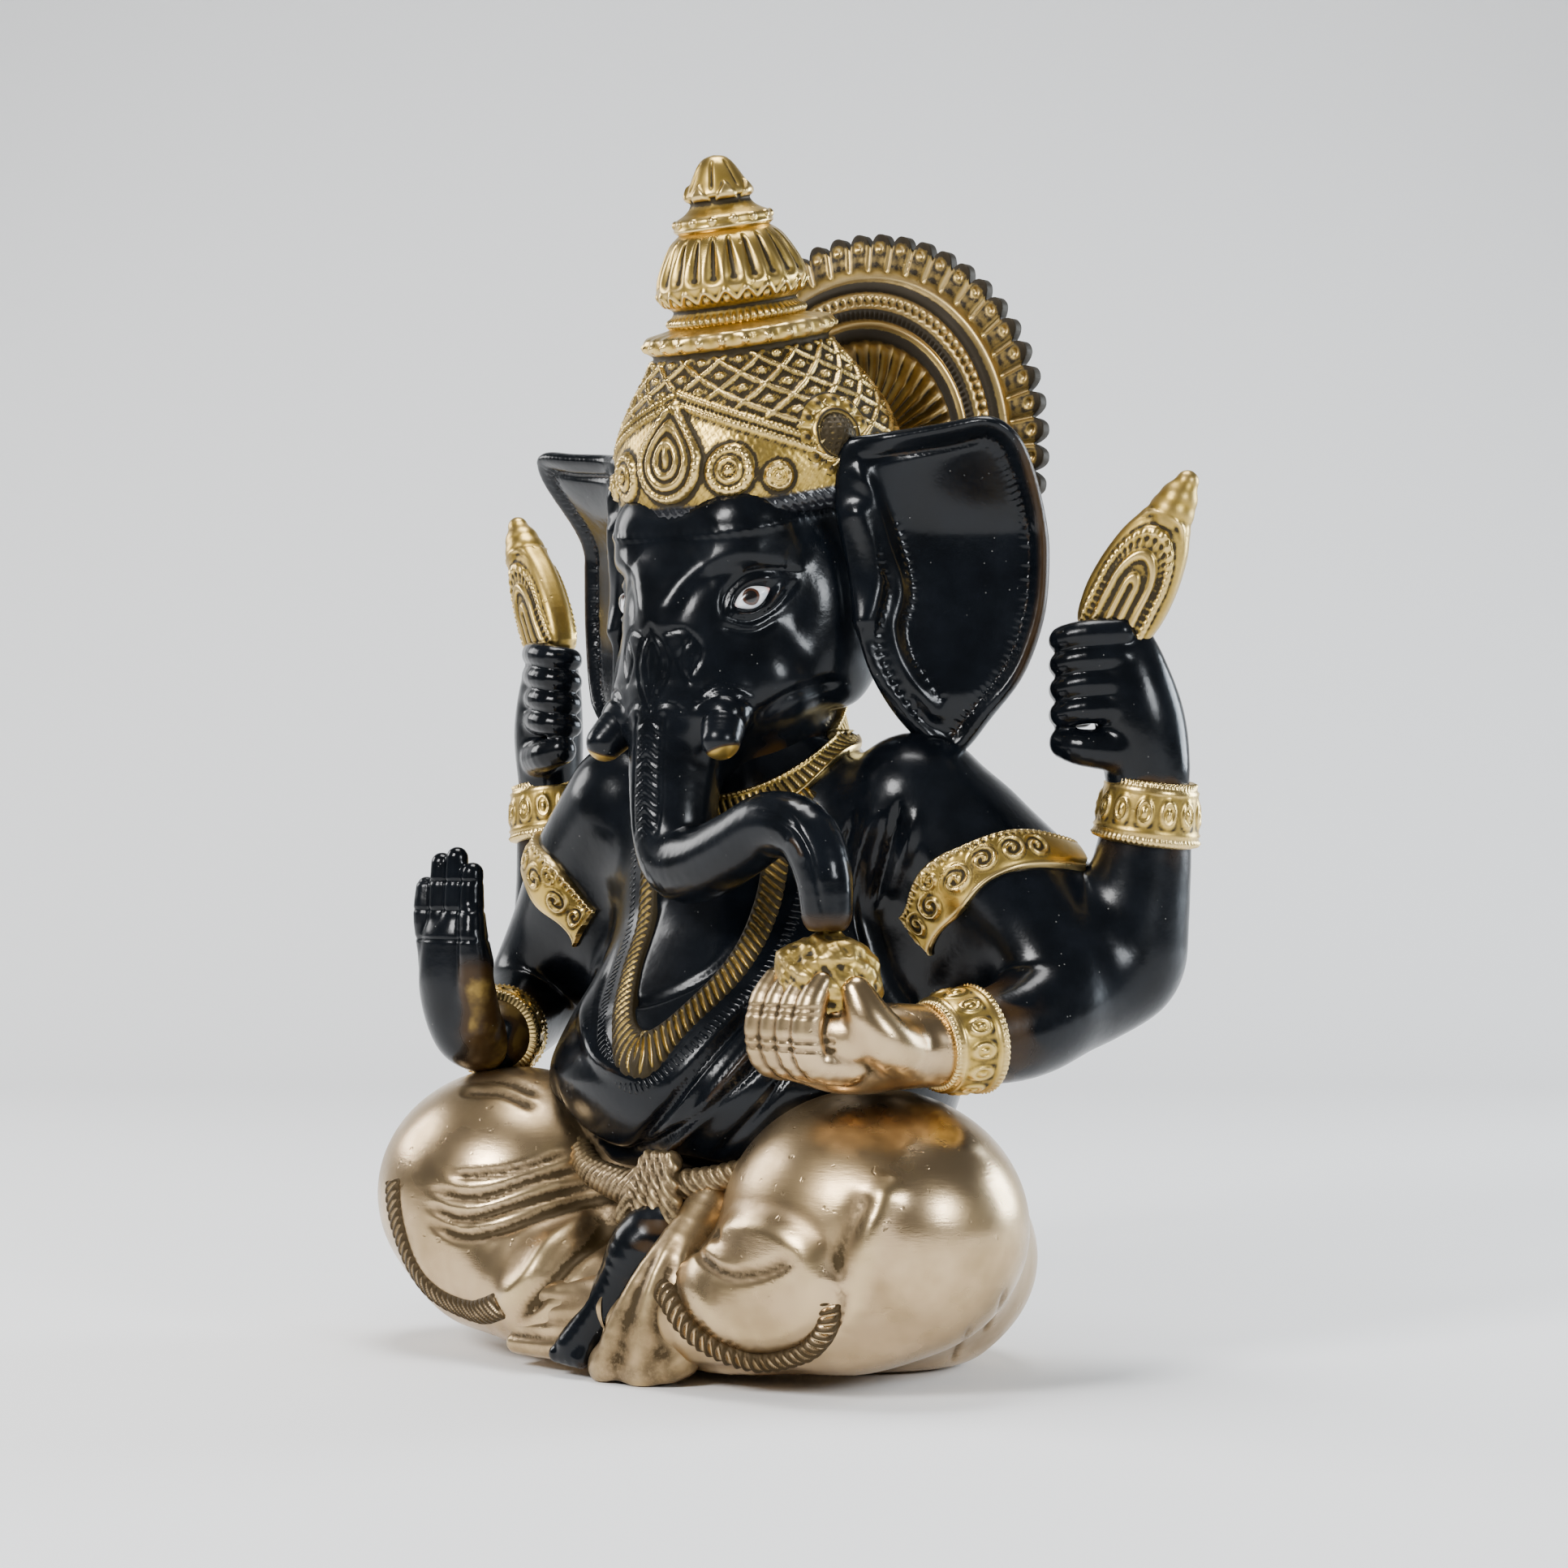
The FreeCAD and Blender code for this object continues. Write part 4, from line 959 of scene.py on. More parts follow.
def build_ear():
    """The left ear in view coordinates: across, up, and toward the viewer."""
    step = 0.56 * FINE
    u = np.arange(15, 64, step)
    z = np.arange(120, 193, step)
    f = np.arange(-10, 19, step)
    flat = np.stack(np.meshgrid(u, z, indexing="ij"), axis=-1)
    edge, _ = outline_distance(flat, curve(EAR_OUTLINE, 90, closed=True))
    sheet = ear_forward(flat[..., 0], flat[..., 1])
    # The rim is a rounded roll, thicker at the top and outer edge.
    outer = ramp(flat[..., 0], 24, 34)
    roll = 1.2 * bump(edge + 1.6, 1.8) * outer
    half = 1.5 + 0.55 * roll
    centre = sheet + 0.9 * roll
    off = f[None, None, :] - centre[..., None]
    slab = np.abs(off) - half[..., None]
    clay = Clay.over([u, z, f], step, smooth_max(slab, np.broadcast_to(edge[..., None], slab.shape), 1.6))
    points, quads = clay.mesh()
    edge, along = outline_distance(points[:, :2], curve(EAR_OUTLINE, 90, closed=True))
    front = points[:, 2] > ear_forward(points[:, 0], points[:, 1])
    # Stitches run inside the outer rim; a row of dots follows the ear's inner fold.
    walk = along * 190.0
    outer_run = ramp(along, 0.16, 0.22) * ramp(-along, -0.66, -0.62)
    stitch = bump(edge + 4.4, 1.1) * outer_run * ramp(np.sin(walk * 2 * np.pi / 1.35), -0.2, 0.6)
    groove = bump(edge + 4.4, 0.55) * outer_run
    top_fold = bump(edge + 5.0, 0.7) * ramp(-along, -0.22, -0.18) * ramp(along, 0.06, 0.1)
    inner = np.array([(22, 181), (26, 172), (29, 163), (31, 155), (29.5, 147), (32, 139), (38, 131)])
    d, run = path_distance(points[:, :2], curve(inner, 30))
    ridge = 1.1 * bump(d, 1.9) * ramp(run, 0.0, 0.1)
    lobe, _ = path_distance(points[:, :2], curve([(23, 170), (25.5, 163), (26.5, 156), (24.5, 149)], 14))
    dots = bump(d - 3.0, 0.7) * ramp(np.sin(run * 60 * np.pi), 0.1, 0.8)
    dots = dots * (points[:, 0] > 26) * ramp(run, 0.2, 0.3)
    relief = -0.55 * stitch - 0.3 * groove - 0.8 * top_fold + ridge - 0.4 * dots + 1.5 * bump(lobe, 2.4)
    relief = np.where(front, relief, 0)
    normals = vertex_normals(points, quads)
    points = points + normals * relief[:, None]
    gild = 0.42 * bump(edge + 1.0, 1.6) * ramp(points[:, 0], 50, 57)
    return points, quads, gild


ear_points, ear_quads, ear_gild = build_ear()
across, up, forward = ear_points[:, 0:1], ear_points[:, 1:2], ear_points[:, 2:3]
left_ear = RIGHT_OF_VIEW * across + AWAY * (EAR_DEPTH - forward) + np.array([0, 0, 1.0]) * up
for side, name in SIDES:
    add_piece(f"ear_{name}", [f"{name}_ear"], "black_lacquer", *on_side(side, left_ear, ear_quads[:, ::-1]),
              {"gild": ear_gild}, depth=0.22)

# ---------------------------------------------------------------- crown

def crown_point(angle, radius, height):
    return (
        CROWN_BASE
        + CROWN_UP * height[..., None]
        + (CROWN_SIDE * np.sin(angle)[..., None] + CROWN_FRONT * np.cos(angle)[..., None]) * radius[..., None]
    )


def beads(across, up, size):
    """A round bead: across and up are distances from its middle."""
    return np.sqrt(np.clip(1 - (across**2 + up**2) / size**2, 0, 1))


def around(angle, radius, count, turn=0.0):
    """Distance across to the nearest of count marks spread evenly round."""
    share = np.mod(angle / (2 * np.pi) * count + turn + 0.5, 1) - 0.5
    return share * 2 * np.pi * radius / count


def dome_relief(angle, t, radius):
    """Raised ornament on the dome in millimetres: t is height on the crown's axis."""
    turn = np.mod(angle + np.pi, 2 * np.pi) - np.pi
    across = turn * radius
    side = np.abs(across)
    out = np.zeros_like(t)
    # Twisted cord at the rim.
    cord = bump(t - 1.6, 1.5)
    out += cord * (0.7 + 0.22 * np.sin(angle * 95 + t * 3.0))
    # Front drop: rings inside one another, pointed above.
    drop_up = t - 12.4
    taper = np.where(drop_up > 0, 1 + (drop_up / 9.0) ** 2 * 0.9, 1.0)
    drop = np.hypot(across * taper, drop_up * np.where(drop_up > 0, 0.68, 1.0))
    hatch = 0.5 + 0.5 * np.sin(np.arctan2(drop_up, across) * 34)
    inside_drop = ramp(-drop, -8.4, -7.8)
    rings = 0.95 * bump(drop - 7.0, 0.8) * (0.75 + 0.25 * hatch) + 0.8 * bump(drop - 4.7, 0.75)
    rings += 0.75 * bump(drop - 2.6, 0.6)
    rings += 1.0 * bump(np.hypot(across * 1.6, (drop_up - 1.5) * 0.55), 1.0)
    out = out * (1 - inside_drop) + inside_drop * (rings + 0.5)
    # Flowers beside it, then a small boss: the same on both sides.
    for at, height, size in ((27, 9.8, 4.8), (46, 7.4, 2.7)):
        away = np.hypot(side - math.radians(at) * 29.4, t - height)
        petal_count = 18 if size > 4 else 8
        petals = 0.5 + 0.5 * np.cos(np.arctan2(t - height, side - math.radians(at) * 29.4) * petal_count)
        mask = ramp(-away, -size - 0.5, -size)
        flower = 0.8 * bump(away - size * 0.82, size * 0.17) * (0.6 + 0.4 * petals)
        flower += 0.85 * bump(away - size * 0.42, size * 0.13) + 1.3 * beads(away, 0 * away, size * 0.24)
        out = out * (1 - mask) + mask * (flower + 0.45)
    # Roped chevron from the front peak down to the side rosettes.
    chevron_t = 24.6 - 0.33 * side - 0.002 * side**2
    off = t - chevron_t
    rope = (bump(off - 0.9, 0.62) + bump(off + 0.9, 0.62)) * 0.62
    rope += bump(off, 1.7) * 0.28 * np.sin(side * 2 * np.pi / 0.95)
    on_front = ramp(-side, -33, -30) * (1 - inside_drop)
    out += rope * on_front
    # Diamond lattice with a dot in each cell, above the chevron and over the back.
    lattice = ramp(off, 1.6, 2.6) * on_front + (1 - ramp(-side, -33, -30)) * ramp(t, 6, 8)
    lattice = lattice * ramp(-t, -32.0, -31.2)
    u = angle * 15 / (2 * np.pi)
    v = (t - 14) / 5.6
    d1 = np.abs(np.mod(u + v + 0.5, 1) - 0.5)
    d2 = np.abs(np.mod(u - v + 0.5, 1) - 0.5)
    threads = np.maximum(bump(d1, 0.065), bump(d2, 0.065))
    centre1, centre2 = np.mod(u + v, 1) - 0.5, np.mod(u - v, 1) - 0.5
    dot = np.clip(1 - (centre1**2 + centre2**2) / 0.026, 0, 1) ** 0.5
    out += lattice * (0.75 * threads + 0.8 * dot)
    # Ground texture between the ornaments.
    ground = np.sin(angle * 130 + 2 * np.sin(t * 5)) * np.sin(t * 7.5 + np.sin(angle * 60))
    out += 0.1 * ground * ramp(-t, -31, -30)
    # Lobed flange with a dot on each lobe.
    flange = bump(t - 34.8, 1.5)
    lobe = around(angle, 19.3, 26)
    out += flange * (0.75 * bump(lobe, 1.45) - 0.15) + 0.55 * beads(lobe, t - 34.4, 0.75)
    return out


DOME = [(24.0, -1.2), (27.6, -0.2), (28.6, 1.0), (29.3, 3), (29.5, 8.5), (28.7, 13), (26.6, 18.5), (24, 23),
        (21, 27.2), (18.6, 31), (18.2, 32.4), (19.2, 33.6), (19.3, 35.2), (18.6, 36.3), (15.2, 37.1),
        (13.2, 37.8)]
BULB = [(12.6, 37.2), (13.9, 37.8), (14.1, 38.8), (13.0, 39.9), (12.6, 41), (13.9, 42.2), (15.2, 44.2),
        (15.4, 46), (14.9, 48), (13.4, 51), (11.5, 54), (9.4, 55.8), (8.6, 56.4)]
FINIAL = [(8.2, 55.6), (9.6, 56.2), (10.0, 57.4), (9.7, 58.8), (7.6, 60), (6.4, 61.2), (6.1, 62.4),
          (6.8, 63.2), (6.6, 64.2), (5.6, 66), (4.5, 68), (3.4, 69.6), (2.0, 70.7), (0.1, 71.1)]


def turned_piece(name, profile, rows, columns, relief_at):
    """A turned crown section with raised ornament."""
    line = curve(profile, 6 * len(profile))
    run = np.concatenate([[0], np.cumsum(np.hypot(*np.diff(line, axis=0).T))])
    even = np.linspace(0, run[-1], int(rows / FINE))
    r, t = np.interp(even, run, line[:, 0]), np.interp(even, run, line[:, 1])
    slope = unit(np.stack([np.gradient(t), -np.gradient(r)], axis=1))
    angle = np.linspace(0, 2 * np.pi, int(columns / FINE), endpoint=False)
    angle, r2 = np.meshgrid(angle, r)
    t2 = np.repeat(t[:, None], angle.shape[1], axis=1)
    relief = relief_at(angle, t2, r2)
    grid = crown_point(angle, r2 + relief * slope[:, :1], t2 + relief * slope[:, 1:])
    low = np.clip(0.25 - relief, 0, 0.4) + 0.12 * np.clip(noise(grid, 22, 31), 0, 1)
    # Black paint covers the dome's rim, about 4 mm up.
    paint = ramp(-t2, -4.0, -3.4)
    add_grid(f"crown_{name}_body", [f"crown_{name}"], "gilt_brass", grid,
             extra={"stain": low * 0.7, "paint": paint}, depth=0.12)


def bulb_relief(angle, t, radius):
    """Beaded ring, scalloped foot and upright flutes."""
    out = 0.35 * bump(t - 38.6, 0.8) * np.sin(angle * 62)
    wave = around(angle, 15.3, 22)
    out += 0.55 * bump(t - (43.6 + 0.9 * np.cos(angle * 22)), 0.5)
    out += 0.5 * beads(wave, t - 42.8, 0.8)
    flute = around(angle, radius, 22, 0.5)
    width = 0.35 + 1.05 * ramp(-t, -55, -46)
    cut = bump(flute, width) * ramp(t, 45.2, 47.2) * ramp(-t, -55.2, -53.5)
    out += 0.15 - 0.95 * cut
    return out


def finial_relief(angle, t, radius):
    """Dotted collar, then a bud with pointed leaves at its foot."""
    out = 0.5 * beads(around(angle, 9.7, 14), t - 58.2, 0.8) + 0.35 * bump(t - 56.9, 0.45)
    leaf = np.abs(around(angle, 6.6, 7))
    out += 0.55 * ramp(2.6 - leaf - (t - 62.6) * 0.75, 0, 0.7) * ramp(t, 61.8, 62.6)
    out += -0.4 * bump(around(angle, radius, 7, 0.5), 0.35) * ramp(t, 64, 65.5) * ramp(-t, -70.2, -69)
    return out


turned_piece("dome", DOME, 150, 520, dome_relief)
turned_piece("bulb", BULB, 90, 400, bulb_relief)
turned_piece("finial", FINIAL, 80, 220, finial_relief)

# ---------------------------------------------------------------- side rosettes

def disc_piece(name, nodes, slot, centre, way, radius, profile, relief_at, rows, columns, stain_at):
    """A round ornament facing way: profile(r) is its height, relief_at(r, angle) its raised detail."""
    way = unit(way)
    up = unit(np.array([0, 0, 1.0]) - way * way[2])
    across = np.cross(up, way)
    r = np.concatenate([np.linspace(0.05, radius, int(rows / FINE)), [radius, radius * 0.98]])
    angle = np.linspace(0, 2 * np.pi, int(columns / FINE), endpoint=False)
    angle, r2 = np.meshgrid(angle, r)
    relief = relief_at(r2, angle)
    height = profile(r2) + relief
    height[-2:] = profile(r2[-2:]) - np.array([[1.5], [3.5]])
    grid = (
        np.asarray(centre)
        + way * height[..., None]
        + (across * np.sin(angle)[..., None] + up * np.cos(angle)[..., None]) * r2[..., None]
    )
    extra = {"stain": stain_at(r2, angle, relief)[::-1], "paint": 0.0}
    return add_grid(name, nodes, slot, grid[::-1], extra=extra, depth=0.12)


def rosette_relief(r, angle):
    ring = 0.8 * bump(r - 5.1, 0.45)
    petals = 0.9 * bump(r - 7.3, 1.2) * (0.5 + 0.5 * np.cos(angle * 11))
    x, y = r * np.sin(angle), r * np.cos(angle)
    weave = np.maximum(np.abs(np.sin(x * 2.6)), np.abs(np.sin(y * 2.6)))
    cap = ramp(-r, -4.6, -4.0) * (0.35 * weave)
    return ring + petals + cap


for side, name in SIDES:
    turn = math.radians(74) * side
    seat_t = 13.2
    outward = CROWN_SIDE * math.sin(turn) + CROWN_FRONT * math.cos(turn)
    centre = CROWN_BASE + CROWN_UP * seat_t + outward * 27.6
    tilt = unit(outward + CROWN_UP * 0.22)
    disc_piece(
        f"rosette_{name}", [f"{name}_rosette"], "gilt_brass", centre, tilt, 9.0,
        lambda r: 1.2 + 2.6 * ramp(-r, -5.0, 0.0) - 0.02 * r**2, rosette_relief, 60, 220,
        lambda r, angle, relief: 0.95 * ramp(-r, -5.0, -4.2) + 0.35 * np.clip(0.5 - relief, 0, 1),
    )

# ---------------------------------------------------------------- halo wheel

HALO_CENTRE = middle("halo_wheel")
HALO_CENTRE[1] = node_box("halo_wheel")[1][1]
TEETH = 50


def halo_profile(r):
    """Height of the wheel's front above its back: fluted dish, ridges, bead course, cove, toothed rim."""
    marks = [(0, 3.8), (7, 3.6), (10, 2.4), (18, 1.3), (24, 1.9), (25.4, 3.6), (27.2, 3.7), (28.4, 2.6),
             (29.4, 4.2), (31, 4.4), (32, 3.2), (34.6, 3.2), (35.4, 4.4), (36.4, 4.2), (38.2, 2.4),
             (39.4, 3.0), (48, 2.6)]
    radii, heights = zip(*marks)
    return np.interp(r, radii, heights)


def halo_relief(r, angle):
    beads_row = 0.75 * beads(around(angle, 33.3, 96), r - 33.3, 0.85)
    flutes = -0.8 * (0.5 + 0.5 * np.cos(angle * 44)) ** 0.6 * ramp(r, 8.5, 11) * ramp(-r, -24.4, -23.2)
    tooth = around(angle, 44, TEETH)
    radial = -0.7 * bump(np.abs(tooth) - 2.75, 0.3) * ramp(r, 39, 40)
    pit = -0.8 * bump(np.hypot(tooth, r - 44.4), 0.8)
    raised = 0.5 * ramp(r, 39.6, 40.6) * bump(tooth, 2.0)
    rim = 0.25 * bump(r - 30.2, 0.4) * np.sin(angle * 150)
    return beads_row + flutes + radial + pit + raised + rim


def halo_edge(angle):
    """The rim's own radius: a row of rounded teeth."""
    lobe = np.abs(around(angle, 46, TEETH)) / 2.9
    return 44.2 + 3.2 * np.clip(1 - lobe**2.6, 0, 1)


def build_halo():
    columns = int(700 / FINE)
    angle = np.linspace(0, 2 * np.pi, columns, endpoint=False)
    share = np.concatenate([np.linspace(0.002, 0.8, int(74 / FINE)), np.linspace(0.807, 1.0, int(22 / FINE))])
    angle, share = np.meshgrid(angle, share)
    edge = halo_edge(angle)
    r = np.where(share < 0.8, share * 48, 38.4 + (share - 0.8) / 0.2 * (edge - 38.4))
    relief = halo_relief(r, angle)
    height = halo_profile(r) + relief
    rows = [(r, height)]
    outer_r, outer_h = r[-1:], height[-1:]
    rows.append((outer_r * 0.9985 + 0.05, outer_h - 0.5))
    rows.append((outer_r * 0.9985 + 0.05, 0 * outer_h + 0.6))
    rows.append((outer_r - 0.5, 0 * outer_h + 0.1))
    for k in (38.0, 26.0, 14.0, 5.0, 1.0, 0.1):
        rows.append((0 * outer_r + k, 0 * outer_h + 0.02))
    r_all = np.vstack([a for a, _ in rows])
    h_all = np.vstack([b for _, b in rows])
    ang = np.repeat(angle[:1], len(r_all), axis=0)
    grid = np.stack([HALO_CENTRE[0] + r_all * np.sin(ang), HALO_CENTRE[1] - np.abs(h_all),
                     HALO_CENTRE[2] + r_all * np.cos(ang)],
                    axis=-1)
    stain = np.zeros_like(r_all)
    stain[: len(relief)] = 0.35 * np.clip(0.1 - relief, 0, 1) + 0.3 * bump(r - 37.6, 1.4)
    stain[: len(relief)] += 0.3 * bump(r - 32, 0.6)
    stain[len(relief):] = 0.2
    add_grid("halo_body", ["halo_wheel"], "antique_brass", grid[:, ::-1], extra={"stain": stain[:, ::-1]},
             depth=0.14)


build_halo()
stem = Clay((-6, 26, 180), (6, 46, 194), 0.4)
stem.tube([(0, 28, 187, 3.6), (0, 34, 187, 2.9), (0, HALO_CENTRE[1] - 4.4, 187, 3.6)], 0, 8)
points, quads = stem.mesh()
add_piece("stem_body", ["halo_stem"], "antique_brass", points, quads, {"stain": 0.4})

# ---------------------------------------------------------------- draped bands

def drape(name, nodes, slot, clay, path, width, height, relief_at, samples, rows=15):
    """A raised band laid on a surface along a path: relief_at(along mm, across -1..1) adds detail."""
    line = clay.settle(curve(path, samples))
    walk = np.concatenate([[0], np.cumsum(np.linalg.norm(np.diff(line, axis=0), axis=1))])
    along = unit(np.gradient(line, axis=0))
    out = clay.normal(line)
    across = unit(np.cross(out, along))
    v = np.linspace(-1, 1, rows)
    half = width(walk / walk[-1]) / 2 if callable(width) else np.full(samples, width / 2)
    grid = line[:, None, :] + across[:, None, :] * (v[None, :, None] * half[:, None, None])
    grid = clay.settle(grid, 3)
    normal = clay.normal(grid)
    s = np.repeat(walk[:, None], rows, axis=1)
    vv = np.repeat(v[None, :], samples, axis=0)
    edge = 1 - np.abs(vv) ** 6
    relief = relief_at(s, vv)
    rise = edge * (height + relief) - (1 - edge) * 0.6
    ends = np.minimum(1, np.minimum(s, walk[-1] - s) / 0.8)
    rise = rise * ends - 0.4 * (1 - ends)
    grid = grid + normal * rise[..., None]
    stain = 0.5 * np.clip(0.3 - relief, 0, 1)
    return add_grid(name, nodes, slot, grid, wrap=False, extra={"stain": stain, "paint": 0.0}, depth=0.14)


def slanting(pitch, lean, depth):
    """Slanting cuts across a band."""
    def relief(s, v):
        cut = ramp(np.sin((s + lean * v) * 2 * np.pi / pitch), -0.1, 0.8)
        return -depth * cut * ramp(-np.abs(v), -0.85, -0.7)

    return relief


def twisted(pitch, depth):
    """A twisted rope's lay."""
    def relief(s, v):
        return depth * np.sin((s + 1.1 * v) * 2 * np.pi / pitch) * (1 - v**2) + 0.9 * np.sqrt(1 - 0.98 * v**2)

    return relief


def view_path(places, clay):
    """(across, up) places in the three-quarter view, dropped onto a surface."""
    flat = np.array([RIGHT_OF_VIEW * u + np.array([0, 0, z]) for u, z in places])
    return clay.land(flat, AWAY)


def front_path(places, clay):
    """(x, z) places seen from the front, dropped onto a surface."""
    flat = np.array([(x, 0, z) for x, z in places], float)
    return clay.land(flat, np.array([0, 1.0, 0]))


LEFT_HEM = [(-13.8, 31), (-15.6, 24), (-14.6, 17.8), (-10.1, 12.1), (-3.5, 8), (3.9, 6.4), (11.3, 8.9),
            (16.3, 15.3), (18.3, 22)]
RIGHT_HEM = [(-72.6, 35.5), (-71.6, 26), (-68, 17), (-61.8, 11.4), (-54.5, 9.8), (-48.5, 12.5)]
drape("hem_left", ["left_hem"], "polished_brass", seat, view_path(LEFT_HEM, seat), 5.0, 0.5,
      twisted(1.9, 0.6), samples=480)
drape("hem_right", ["right_hem"], "polished_brass", seat, view_path(RIGHT_HEM, seat), 6.4, 0.9,
      slanting(1.8, 1.8, 0.6), samples=420)

NECKLACE = [(-20, 116), (-17, 104), (-15.5, 92), (-13, 79), (-6.5, 68), (0, 63), (6.5, 68), (13, 79),
            (15.5, 92), (17, 104), (20, 116)]


def necklace_relief(s, v):
    middle_s = s.max() / 2
    lean = np.where(s < middle_s, 1.6, -1.6)
    cuts = -0.65 * ramp(np.sin((s + lean * v) * 2 * np.pi / 1.7), 0, 0.8) * ramp(-v, -0.75, -0.55)
    return cuts + 0.5 * bump(v - 0.85, 0.08) + 0.3 * (1 - np.abs(v))


necklace_path = front_path(NECKLACE, torso)
drape("necklace_band", ["necklace"], "gilt_brass", torso, necklace_path,
      lambda share: 6.2 + 5.2 * bump(share - 0.5, 0.045), 1.0, necklace_relief, samples=620, rows=19)
FRINGE = [(-23.5, 104), (-21.5, 91), (-18.6, 77), (-10.5, 63.5), (0, 56.5), (10.5, 63.5), (18.6, 77),
          (21.5, 91), (23.5, 104)]
drape("fringe_band", ["sash"], "black_lacquer", torso, front_path(FRINGE, torso), 3.4, 0.15,
      slanting(1.3, 0.3, 0.45), samples=560, rows=11)

# ---------------------------------------------------------------- rings round limbs

FARTHEST_SKIN = 5.5      # a band's point farther than this from the skin stays where it is


def ring(name, nodes, clay, centre, way, inner, width, relief_at, columns=260, rows=26, bulge=1.5,
         front=(0, -1.0, 0)):
    """A cast band hugging a limb. relief_at(angle, across -1..1, radius) gives its relief and its widening.

    front points where angle is zero.
    """
    way = unit(way)
    front = np.asarray(front, float)
    front = unit(front - way * (front @ way))
    side = np.cross(way, front)
    angle = np.linspace(0, 2 * np.pi, int(columns / FINE), endpoint=False)
    v = np.linspace(-1, 1, int(rows / FINE))
    angle, v = np.meshgrid(angle, v)
    relief, grow = relief_at(angle, v, inner)
    body = bulge * np.sqrt(1 - 0.96 * np.abs(v) ** 5)
    place = (
        np.asarray(centre, float)
        + way * (v * width / 2 * grow)[..., None]
        + (front * np.cos(angle)[..., None] + side * np.sin(angle)[..., None]) * inner
    )
    settled = clay.settle(place, 6)
    # Where the limb joins the body the skin is far off: such points stay buried.
    strayed = np.linalg.norm(settled - place, axis=-1, keepdims=True) > FARTHEST_SKIN
    rise = body + relief - (np.abs(v) > 0.995) * 1.4
    place = np.where(strayed, place, settled + clay.normal(settled) * rise[..., None])
    low = 0.45 * np.clip(0.3 - relief, 0, 1) * 1.6
    return add_grid(name, nodes, "gilt_brass", place, extra={"stain": low, "paint": 0.0}, depth=0.12)


def cuff_relief(angle, v, radius):
    """Rimmed cuff with a row of ringed dots between beaded edges."""
    spot = np.hypot(around(angle, radius + 1.5, 13), v * 4.2)
    out = 0.6 * bump(np.abs(v) - 0.86, 0.09) + 0.35 * bump(np.abs(v) - 0.6, 0.05)
    out += 0.5 * bump(spot - 1.3, 0.35) + 0.6 * beads(spot, 0 * spot, 0.75)
    out += 0.2 * bump(np.abs(v) - 0.86, 0.1) * np.sin(angle * 60)
    return out, 1.0


def armlet_relief(angle, v, radius):
    """Scroll-worked armlet, widening to a point in front."""
    turn = np.mod(angle + np.pi, 2 * np.pi) - np.pi
    face = bump(turn, 0.42)
    x, y = turn * radius, v * (4.5 + 2.6 * face)
    out = 0.4 * bump(np.abs(v) - 0.9, 0.07)
    # One big scroll pair on the point, then smaller ones trailing round the band.
    scrolls = [(-3.6, 0.6, 3.4), (3.4, 0.6, 3.4), (0, -3.4, 2.2)]
    scrolls += [(along, 0, 3.0) for along in (9.5, 15.5, -9.5, -15.5, 21, -21)]
    for cx, cy, size in scrolls:
        r = np.hypot(x - cx, y - cy)
        spiral = np.sin(2 * np.pi * r / (size * 0.62) + np.arctan2(y - cy, (x - cx) * np.sign(cx + 0.1)))
        out += 0.5 * ramp(spiral, 0.0, 0.8) * ramp(-r, -size, -size * 0.85)
    out += 0.3 * bump(v + 0.78, 0.1) * np.sin(angle * 60)
    return out + 0.4 * face, 1.0 + 0.5 * face


wrist = np.array(LEFT_FRONT_ARM[-1][:3])
forearm = np.array(LEFT_FRONT_ARM[-2][:3])
ring("cuff_front_left", ["left_front_cuff"], torso, forearm * 0.04 + wrist * 0.96, wrist - forearm, 8.3, 12.5,
     cuff_relief)
wrist = np.array(RIGHT_FRONT_ARM[-1][:3])
forearm = np.array(RIGHT_FRONT_ARM[-2][:3])
ring("cuff_front_right", ["right_front_cuff"], torso, forearm * 0.22 + wrist * 0.78, wrist - forearm, 8.0,
     9.5, cuff_relief)
for side, name in SIDES:
    rear = np.array(REAR_ARM if side == 1 else other_side(REAR_ARM))
    low_end, high_end = rear[-2, :3], rear[-1, :3]
    ring(f"cuff_rear_{name}", [f"{name}_rear_cuff"], torso, low_end * 0.1 + high_end * 0.9,
         high_end - low_end, 8.5, 13.8, cuff_relief)
    arm = np.array(LEFT_FRONT_ARM if side == 1 else RIGHT_FRONT_ARM)
    centre = arm[1, :3] * 0.66 + arm[2, :3] * 0.34
    ring(f"armlet_{name}_body", [f"{name}_armlet"], torso, centre,
         arm[2, :3] - arm[0, :3] + np.array([side * 2.0, -14, -4]), 14.5, 9.0, armlet_relief, 460, 34,
         front=(-side * 0.15, -1, 0.1), bulge=1.4)


def collar_relief(angle, v, radius):
    """Twin cords either side of slanting cuts."""
    out = 0.5 * bump(v - 0.8, 0.12) * (1 + 0.3 * np.sin(angle * 110)) + 0.45 * bump(v + 0.8, 0.12)
    cuts = -0.4 * ramp(np.sin(angle * 80 + v * 3.5), 0, 0.8) * ramp(-np.abs(v), -0.6, -0.45)
    return out + cuts, 1.0


ring("collar_body", ["collar"], torso, (0, 2.5, 121.5), (0, -0.52, 0.85), 20.2, 8.5, collar_relief, 560, 36,
     bulge=1.2)

# ---------------------------------------------------------------- hands

def clay_for(stations, margin, step):
    """A block just big enough for these limbs."""
    s = np.array([p for chain in stations for p in chain], float)
    return Clay((s[:, :3] - s[:, 3:]).min(0) - margin, (s[:, :3] + s[:, 3:]).max(0) + margin, step)


